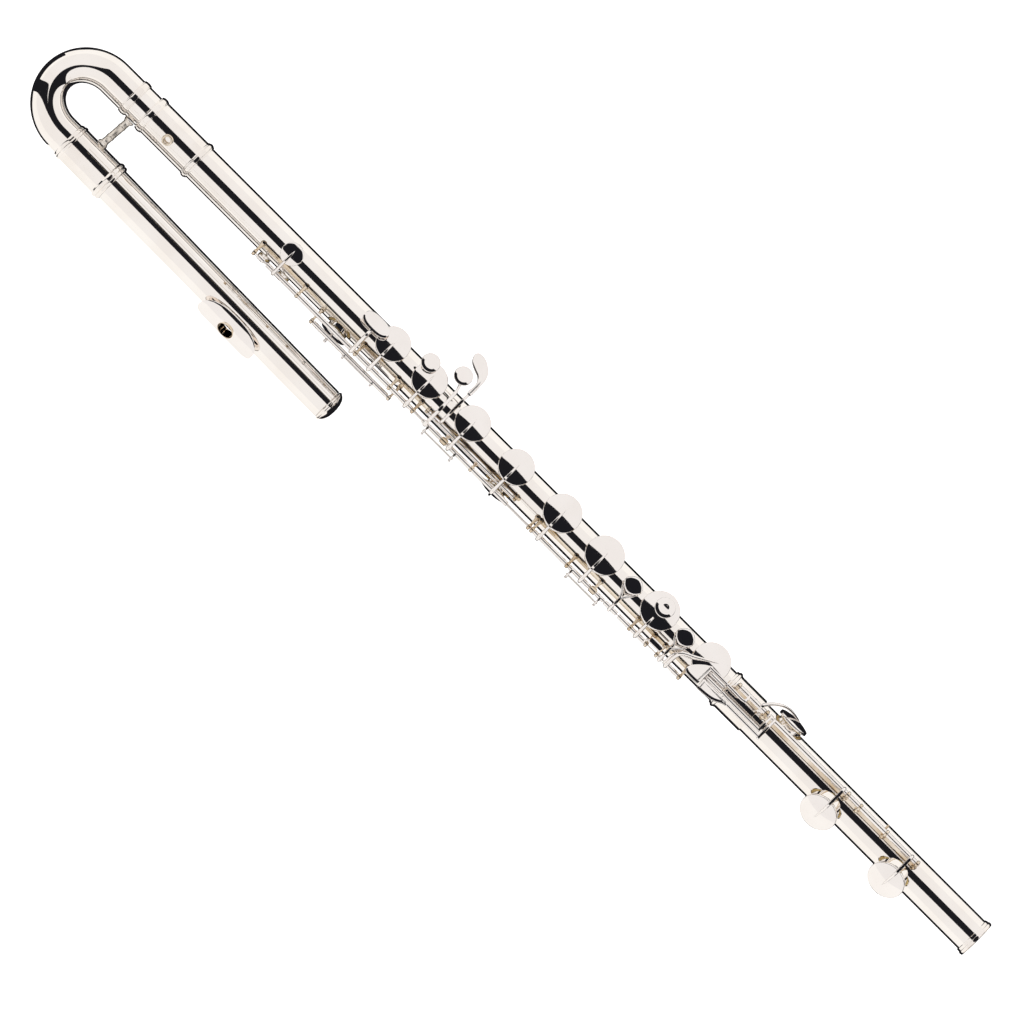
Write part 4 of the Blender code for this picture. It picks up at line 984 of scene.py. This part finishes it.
def make_lower_keys():
    make_plain_key("f_sharp", [(529.0, 564.3)])
    make_plain_key("f", [(568.0, 590.6), (597.4, 606.0)], bridge(571.5, 602.5))
    make_e_key()
    make_d_key()


def make_e_key():
    a, radius = cup_place("e_pad")
    root = on_main(-radius - 0.6, TOP_HOLE["edge"] + 0.9)
    path = [(a, MAIN[0] - 2.6, MAIN[1] + 0.4), (a, MAIN[0] - 0.4, MAIN[1] + 2.7)]
    path += [(a, *root), (a, *on_main(-9.0, 24.6))]
    arm = sweep(path, [1.5, 1.7, 1.4, 1.0], 16, 5)
    tab = slab([(652.8, -17.0), (664.8, -17.0), (665.2, -11.6), (652.8, -11.4)], 1.0,
               Matrix.Translation(spot(0, 0, 25.2)), 0.25, 0)
    path = [(651, MAIN[0], MAIN[1] + 1), (651, -16.4, 24.3), (655, -14.5, 25.1)]
    tab_arm = sweep(path, [1.0, 0.85, 0.8], 12, 4)
    touch = button(643.8, 3.5, 8.3, 23.0, 27.6, 2.6)
    keywork("e_lever", "e",
            [main_cup("e_pad", "e"), arm, touch, tab, tab_arm, tube_key(622.05, 651.85, MAIN)], ["e_key"])


def make_d_key():
    a, radius = cup_place("d_pad")
    path = [(676, MAIN[0] - 2.4, MAIN[1] + 0.4), (676, MAIN[0] + 0.2, MAIN[1] + 2.7)]
    for station, t, h in ((677.5, -13.5, 24.6), (689, -6.5, 24.9), (698, -1.0, 24.8), (704, 2.5, 24.5)):
        path.append((station, *on_main(t, h)))
    arm = sweep(path, [1.5, 1.6, 1.5, 1.4, 1.0, 0.25], 16, 6)
    side = [(673.6, MAIN[0], MAIN[1] + 1.0), (673.6, MAIN[0] + 0.6, MAIN[1] + 2.8), (675, -8.0, 26.0),
            (686.5, -2.2, 26.0)]
    link = sweep(side, [1.1, 1.1, 1.0, 0.8], 14, 6)
    keywork("d_lever", "d", [main_cup("d_pad", "d"), arm, link, tube_key(672.4, 688.4, MAIN)], ["d_key"])


def trill_touch(a, root):
    """Soft diamond button on a wishbone arm from the main axis."""
    def outline(grow):
        return oval(8.4 * grow, 7.2 * grow, 56, 1.18)
    levels = [(0.25, 26.12), (0.5, 26.03), (0.75, 25.88), (0.87, 25.78), (0.93, 25.62), (0.98, 25.3),
              (1.01, 24.8), (1.02, 24.2), (1.0, 23.7), (0.8, 23.5)]
    rings = [[spot(a, 6.0, 26.15)]]
    rings += [[spot(a + x, 6.0 + y, z) for x, y in outline(grow)] for grow, z in levels]
    shells = [loft(rings)]
    for side in (-1, 1):
        fork = [(a + side * 6.8, 3.6, 24.2), (a + side * 5.4, -0.6, 24.4), (a + side * 2.4, -4.2, 24.4),
                (root, -8.6, 24.3)]
        shells.append(sweep(fork, [0.8, 0.85, 0.95, 1.2], 12, 5))
    stalk = [(root, -7.5, 24.3), (root, -13, 24.2), (root, -17.4, 23.4), (root, -19.6, 22.0),
             (root, MAIN[0] - 2.4, MAIN[1] + 0.6)]
    return shells + [sweep(stalk, [1.25, 1.3, 1.4, 1.5, 1.4], 14, 5)]


def vent_arm(a0, a1):
    """Arm down the tube's side from station a0 of the main axis to the vent cup at a1."""
    path = [(a0, MAIN[0] - 1, MAIN[1]), (a0, -19.9, 13), (a1 * 0.7 + a0 * 0.3, -20.2, 5), (a1, -20.3, -2),
            (a1, -19.4, -8.6)]
    return sweep(path, [1.2, 1.05, 1.0, 0.95, 0.5], 12, 5)


# name, arm's station, rod radius, rod's stations, collars' stations, (touch, its stalk) stations
TRILLS = (
    ("d_trill", 235.5, ROD_R, (232.6, 620.6), ((233.2, 238.8), (607.0, 620.6)), (614.0, 613.6)),
    ("d_sharp_trill", 226.5, STEEL_R, (218.4, 691.0), ((223.4, 230.0), (666.8, 671.7)), (671.5, 669.2)),
)


def make_trill_keys():
    """Both trill keys turn on the main axis, one rod inside the other."""
    for name, root, radius, rod_span, collars, touch in TRILLS:
        vent, cup_r = cup_place(name + "_pad")
        matrix = cup_frame(vent, VENT_TILT)
        pad_disc(name + "_pad", name, cup_r, SIDE_HOLE, matrix)
        shells = [rod(*rod_span, radius, *MAIN)] + [tube_key(*collar, MAIN) for collar in collars]
        shells += trill_touch(*touch) + [cup(cup_r, SIDE_HOLE, matrix, VENT_DOME_R), vent_arm(root, vent)]
        keywork(name + "_lever", name, shells, [name + "_key"])


def make_thumb_key():
    a, radius = cup_place("thumb_pad")
    matrix = cup_frame(a, SIDE_TILT, THUMB, THUMB_OPEN)
    pad_disc("thumb_pad", "thumb", radius, SIDE_HOLE, matrix)
    arm_a = a - 0.5
    path = [(arm_a, THUMB[0] - 3.4, THUMB[1] + 1.6), (arm_a, THUMB[0] - 1.6, THUMB[1] - 0.8)]
    path += [(arm_a, p, z) for p, z in ((-27.2, 11.5), (-26.6, 6.5), (-24.6, 1.0), (-23.2, -3.5))]
    arm = sweep(path, [1.3, 1.4, 1.2, 1.1, 1.0, 0.4], 14, 5)
    plane = Matrix.Translation(spot(352, -25.6, -5.5)) @ Matrix.Rotation(math.radians(95), 4, "X")
    touch = slab(oval(11.0, 6.5, 24, 0.7), 1.5, plane, 0.4, 3)
    drop = sweep([(352, THUMB[0], THUMB[1] - 1.0), (352, -26.4, 8), (352, -26.0, 0)], [1.5, 1.3, 1.2], 14, 5)
    shells = [tube_key(291.0, 372.6, THUMB), cup(radius, SIDE_HOLE, matrix, SIDE_DOME_R), arm, touch, drop,
              ball(1.4, arm_a, THUMB[0] - 3.9, THUMB[1] + 1.9)]
    rail = [(325, -27.6, 17.4), (341, -27.7, 17.5), (358, -27.6, 17.4)]
    shells.append(sweep(rail, [0.7, 0.7, 0.7], 12, 2))
    ends = (326.5, 357.0)
    shells += [ball(1.1, x, -29.2, 17.3) for x in ends]
    for x in ends:
        stem = [(x, THUMB[0], THUMB[1] + 1.2), (x, -27.4, 17.6), (x, -29.0, 17.3)]
        shells.append(sweep(stem, [0.8, 0.8, 0.7], 12, 3))
    keywork("thumb_lever", "thumb", shells, ["thumb_key"])


# ---------------------------------------------------------------- foot keys

def foot_arm(a):
    """Arm from the foot rod over a foot cup's edge to a point past its centre."""
    root = a + 1.2
    points = [(root, FOOT[0] + 1.6, FOOT[1] + 0.8), (root, FOOT[0] - 0.4, FOOT[1] + 2.8), (root, 2.0, 29.2)]
    for t, h, shift in ((14.5, 24.4, 1.2), (8, 24.5, 1.1), (0, 25.0, 0.6), (-4.2, 24.6, 0.1)):
        points.append((a + shift, *on_cup(t, h, FOOT_TILT, FOOT, FOOT_OPEN)))
    return sweep(points, [1.4, 1.6, 1.4, 1.35, 1.15, 0.75, 0.15], 16, 6)


def foot_cup(pad_name, body):
    a, radius = cup_place(pad_name)
    matrix = cup_frame(a, FOOT_TILT, FOOT, FOOT_OPEN)
    pad_disc(pad_name, body, radius, TOP_HOLE, matrix)
    return [cup(radius, TOP_HOLE, matrix), foot_arm(a)]


def bar(points, radius=1.1, flat=1.0):
    """Bar of one thickness."""
    return sweep(points, [radius] * len(points), 18, 4, flat)


def roller(node):
    """Roller with rounded ends; returns the cheeks and pin that hold it on its key, and its centre."""
    a0, a1 = span(node)
    centre = flute_mm(middle(node))
    axis = along_x(centre.y, centre.z)
    rim = [(0.8, a1), (1.5, a1), (1.72, a1 - 0.2), (1.75, a1 - 0.5), (1.66, (a0 + a1) / 2),
           (1.75, a0 + 0.5), (1.72, a0 + 0.2), (1.5, a0), (0.8, a0)]
    keywork(node + "_barrel", node, [lathe(rim, axis, 32, True)], [node])
    shells = [rod(a0 - 1.3, a1 + 1.3, 0.5, centre.y, centre.z, 12, 0.1)]
    for a in (a0 - 0.9, a1 + 0.9):
        cheek = [(0, a + 0.5), (1.2, a + 0.5), (1.4, a + 0.3), (1.4, a - 0.3), (1.2, a - 0.5), (0, a - 0.5)]
        shells.append(lathe(cheek, axis, 24))
    return shells, centre


def leaning(height, pivot):
    """Plane of a little finger touch, tipped away from the player about the line across = pivot."""
    turn = Matrix.Rotation(math.radians(WING_LEAN), 4, "X")
    line = Vector((0, pivot * MM, 0))
    place = Matrix.Translation(spot(0, 0, height)) @ Matrix.Translation(line)
    return place @ turn @ Matrix.Translation(-line)


def make_foot_d_sharp_key():
    a, radius = cup_place("foot_d_sharp_pad")
    matrix = cup_frame(a, FOOT_SIDE_TILT)
    pad_disc("foot_d_sharp_pad", "foot_d_sharp", radius, SIDE_HOLE, matrix)
    cheeks, centre = roller("d_sharp_roller")
    top = centre.z + 0.6
    outline = [(703.6, 5.0), (699.5, 3.4), (696, 0.8), (692.8, -2.2), (690, -5.6), (688.5, -9),
               (689.2, -12), (692, -13.3), (697, -13.5), (701, -13.3), (703.4, -12.4), (703.9, -4)]
    wing = slab(outline, 1.8, leaning(top + 0.4, -4.0), 0.5, 4)
    rise = bar([(702.6, 3.3, top), (712, 3.4, top - 1.2), (726, 3.3, top - 1.2), (737.5, 3.2, top - 1.3),
                (739.8, 4.8, top - 1.8), (739.8, FOOT[0], FOOT[1] + 1.4)], 1.25, RAIL_FLAT)
    path = [(752, FOOT[0] + 1, FOOT[1] + 1.4), (752.6, 12.5, 27.2), (757.5, 18.5, 24.6), (764, 22.6, 19.4),
            (771, 24.0, 12.0), (779, 23.2, 4.2), (782.5, 22.4, 2.2)]
    arm = sweep(path, [1.5, 1.5, 1.4, 1.3, 1.2, 0.9, 0.2], 16, 6)
    carry = [bar([(x, 3.4, top - 0.9), (x, 1.6, top - 0.7)], 0.5) for x in (705.3, 720.5)]
    shells = [tube_key(729.6, 756.8, FOOT), cup(radius, SIDE_HOLE, matrix, SIDE_DOME_R), wing, rise, arm]
    keywork("foot_d_sharp_lever", "foot_d_sharp", shells + cheeks + carry, ["foot_d_sharp_key"])


def make_foot_c_sharp_key():
    top = flute_mm(middle("low_c_roller")).z
    outline = [(705.0, -6.4), (714, -6.3), (722, -6.4), (728.5, -6.6), (731, -7.4), (731, -9.4),
               (727.5, -10.6), (722, -13.6), (716, -15.2), (708, -15.9), (705.0, -15.5), (704.6, -11)]
    wing = slab(outline, 1.8, leaning(top, -8.0), 0.5, 4)
    rail = bar([(728, -8.3, top), (747, -8.3, top - 0.2), (766.9, -8.4, top - 0.4)], 1.2, RAIL_FLAT)
    cross = bar([(766.9, -9.2, top - 0.4), (766.9, 4, top - 1.6), (766.9, 9.4, FOOT[1] + 1.4)], 1.3)
    shells = [tube_key(765.4, 846.9, FOOT), wing, rail, cross] + foot_cup("foot_c_sharp_pad", "foot_c_sharp")
    keywork("foot_c_sharp_lever", "foot_c_sharp", shells, ["foot_c_sharp_key"])


def make_low_c_key():
    cheeks, centre = roller("low_c_roller")
    p, z = centre.y, centre.z
    rail = bar([(722.4, p, z), (728, p - 0.3, z - 0.6), (745, p - 0.4, z - 1.1), (763.0, p - 0.4, z - 1.4)],
               1.2, RAIL_FLAT)
    cross = bar([(763.0, p - 0.9, z - 1.4), (763.0, 4, z - 2.0), (763.0, 9.2, FOOT[1] + 1.4)], 1.2)
    shells = [rod(761.4, 926.8, ROD_R, *FOOT), tube_key(761.4, 764.8, FOOT), tube_key(850.1, 923.4, FOOT),
              rail, cross]
    keywork("low_c_lever", "low_c", shells + foot_cup("low_c_pad", "low_c") + cheeks, ["low_c_key"])


# ---------------------------------------------------------------- stage, light and camera

def glow(name, colour, strength):
    made = bpy.data.materials.new(name)
    made.use_nodes = True
    shader = made.node_tree.nodes["Principled BSDF"]
    shader.inputs["Base Color"].default_value = (0, 0, 0, 1)
    shader.inputs["Specular IOR Level"].default_value = 0.0
    shader.inputs["Emission Color"].default_value = (*colour, 1.0)
    shader.inputs["Emission Strength"].default_value = strength
    return made


def sheet(name, corners, material):
    mesh = bpy.data.meshes.new(name)
    mesh.from_pydata(corners, [], [(0, 1, 2, 3)])
    mesh.materials.append(material)
    obj = bpy.data.objects.new(name, mesh)
    bpy.context.scene.collection.objects.link(obj)
    return obj


SLOT_HALF, PANEL_Z = 67.0, 200.0  # mm: half of the dark slot overhead, and the panels' height
PANEL_FAR = 620.0
PANEL_START, PANEL_END = -700.0, 1700.0
SLOT_START = 6.0
SIDE_DROP = 0.72  # how far the side panels reach below the flute, as a share of their distance
GAP_NEAR, GAP_FAR = 250.0, 470.0  # mm: the dark gap at the end of the slot, beyond the bend
GAP_RIGHT, GAP_TOP = 255.0, -70.0  # the low gap beyond the bend, from GAP_NEAR to here, and its top
LID_EDGE = -30.0
UNDER_Z = -60.0  # card below the floor, which lights the head tube's outer side
SEAM_P, SEAM_START, SEAM_END, SEAM_WIDE = -45.0, 70.0, 735.0, 0.8  # thin tan cards beside the rods
FLOOR_REACH = 6.0
TOP_LIGHT, SIDE_LIGHT, SEAM_LIGHT = (1.0, 0.972, 0.955), (1.0, 0.975, 0.945), (0.74, 0.62, 0.44)


def panel(name, corners, colour, strength):
    """Glowing card seen only in reflections and by soft light, from (station, across, up) corners."""
    obj = sheet(name, [spot(*corner) for corner in corners], glow(name, colour, strength))
    obj.visible_camera = False
    obj.visible_shadow = False
    return obj


def flat_panel(name, outline, strength=0.93):
    return panel(name, [(a, p, PANEL_Z) for a, p in outline], TOP_LIGHT, strength)


def wall(name, start, end, top, bottom, strength=1.02):
    """Upright panel between two (station, across) places."""
    return panel(name, [(*start, top), (*end, top), (*end, bottom), (*start, bottom)], SIDE_LIGHT, strength)


def flat_box(name, a0, p0, a1, p1):
    return flat_panel(name, [(a0, p0), (a1, p0), (a1, p1), (a0, p1)])


def make_panels():
    """White cards with one dark slot overhead, which ends above the bend in a slanting dark gap."""
    far, start, end = PANEL_FAR, PANEL_START, PANEL_END
    low = -far * SIDE_DROP
    corner_far = -far * 1.4
    flat_box("panel_top_right", SLOT_START, SLOT_HALF, end, far)
    flat_box("panel_top_left", SLOT_START, -SLOT_HALF, end, -far)
    flat_panel("panel_lid", [(SLOT_START, LID_EDGE), (SLOT_START, far), (start, far), (start, -GAP_NEAR)])
    flat_panel("panel_corner", [(SLOT_START, -SLOT_HALF), (start, -GAP_FAR), (start, corner_far),
                                (SLOT_START, corner_far)])
    wall("panel_right", (start, far), (end, far), PANEL_Z, low)
    wall("panel_left", (start, -far), (end, -far), PANEL_Z, low)
    wall("panel_end", (start, -GAP_NEAR), (start, GAP_RIGHT), PANEL_Z, GAP_TOP)
    wall("panel_end_far", (start, GAP_RIGHT), (start, far), PANEL_Z, low)
    wall("panel_end_near", (start, -far), (start, -GAP_FAR), PANEL_Z, low)
    panel("panel_under_head", [(40.0, -170.0, UNDER_Z), (370.0, -170.0, UNDER_Z), (370.0, -76.0, UNDER_Z),
                               (40.0, -73.0, UNDER_Z)], SIDE_LIGHT, 1.0)
    for name, top in (("seam_high", 39.4), ("seam_low", 22.8)):
        corners = [(SEAM_START, SEAM_P, top), (SEAM_END, SEAM_P, top), (SEAM_END, SEAM_P, top - SEAM_WIDE),
                   (SEAM_START, SEAM_P, top - SEAM_WIDE)]
        panel(name, corners, SEAM_LIGHT, 0.62)


def make_floor():
    look = glow("pale_floor", (1.0, 1.0, 1.0), 0.9)
    look.node_tree.nodes["Principled BSDF"].inputs["Base Color"].default_value = (0.8, 0.8, 0.8, 1)
    reach = FLOOR_REACH
    corners = [(-reach, -reach, 0.0), (reach, -reach, 0.0), (reach, reach, 0.0), (-reach, reach, 0.0)]
    floor = sheet("floor", corners, look)
    floor.visible_glossy = False


def make_world():
    """White to the eye, dark in reflections, so that what the cards leave open reflects dark."""
    world = bpy.data.worlds.new("studio")
    world.use_nodes = True
    nodes, links = world.node_tree.nodes, world.node_tree.links
    nodes.clear()
    path = nodes.new("ShaderNodeLightPath")
    white = nodes.new("ShaderNodeBackground")
    white.inputs["Color"].default_value = (1.0, 1.0, 1.0, 1.0)
    dark = nodes.new("ShaderNodeBackground")
    dark.inputs["Color"].default_value = (0.012, 0.012, 0.015, 1.0)
    mix = nodes.new("ShaderNodeMixShader")
    out = nodes.new("ShaderNodeOutputWorld")
    links.new(path.outputs["Is Glossy Ray"], mix.inputs["Fac"])
    links.new(white.outputs["Background"], mix.inputs[1])
    links.new(dark.outputs["Background"], mix.inputs[2])
    links.new(mix.outputs["Shader"], out.inputs["Surface"])
    bpy.context.scene.world = world


CAMERA_HEIGHT = 9.0  # metres
PICTURE_WIDTH = 803.8  # mm across the picture at the flute's axis
AIM = (506.0, -20.4, 0.0)


def make_camera():
    """Straight down from 9 m, turned so that the flute runs from top left to bottom right."""
    data = bpy.data.cameras.new("camera")
    data.sensor_width = 36.0
    data.lens = data.sensor_width * CAMERA_HEIGHT / (PICTURE_WIDTH * MM)
    data.clip_end = 50.0
    camera = bpy.data.objects.new("camera", data)
    bpy.context.scene.collection.objects.link(camera)
    aim = spot(*AIM)
    right = Vector((1, 1, 0)).normalized()
    up = Vector((-1, 1, 0)).normalized()
    turn = Matrix((right, up, Vector((0, 0, 1)))).transposed().to_4x4()
    camera.matrix_world = Matrix.Translation(aim + Vector((0, 0, CAMERA_HEIGHT))) @ turn
    bpy.context.scene.camera = camera
    view = bpy.context.scene.view_settings
    view.view_transform = "Standard"


# ---------------------------------------------------------------- the flute

make_camera()
make_world()
make_panels()
make_floor()
make_bend()
make_head_rings()
make_brace()
make_head_tube()
make_lip_plate()
make_stopper()
make_tubes()
make_posts()
make_c_sharp_key()
make_upper_keys()
make_g_sharp_key()
make_lower_keys()
make_trill_keys()
make_thumb_key()
make_foot_d_sharp_key()
make_foot_c_sharp_key()
make_low_c_key()
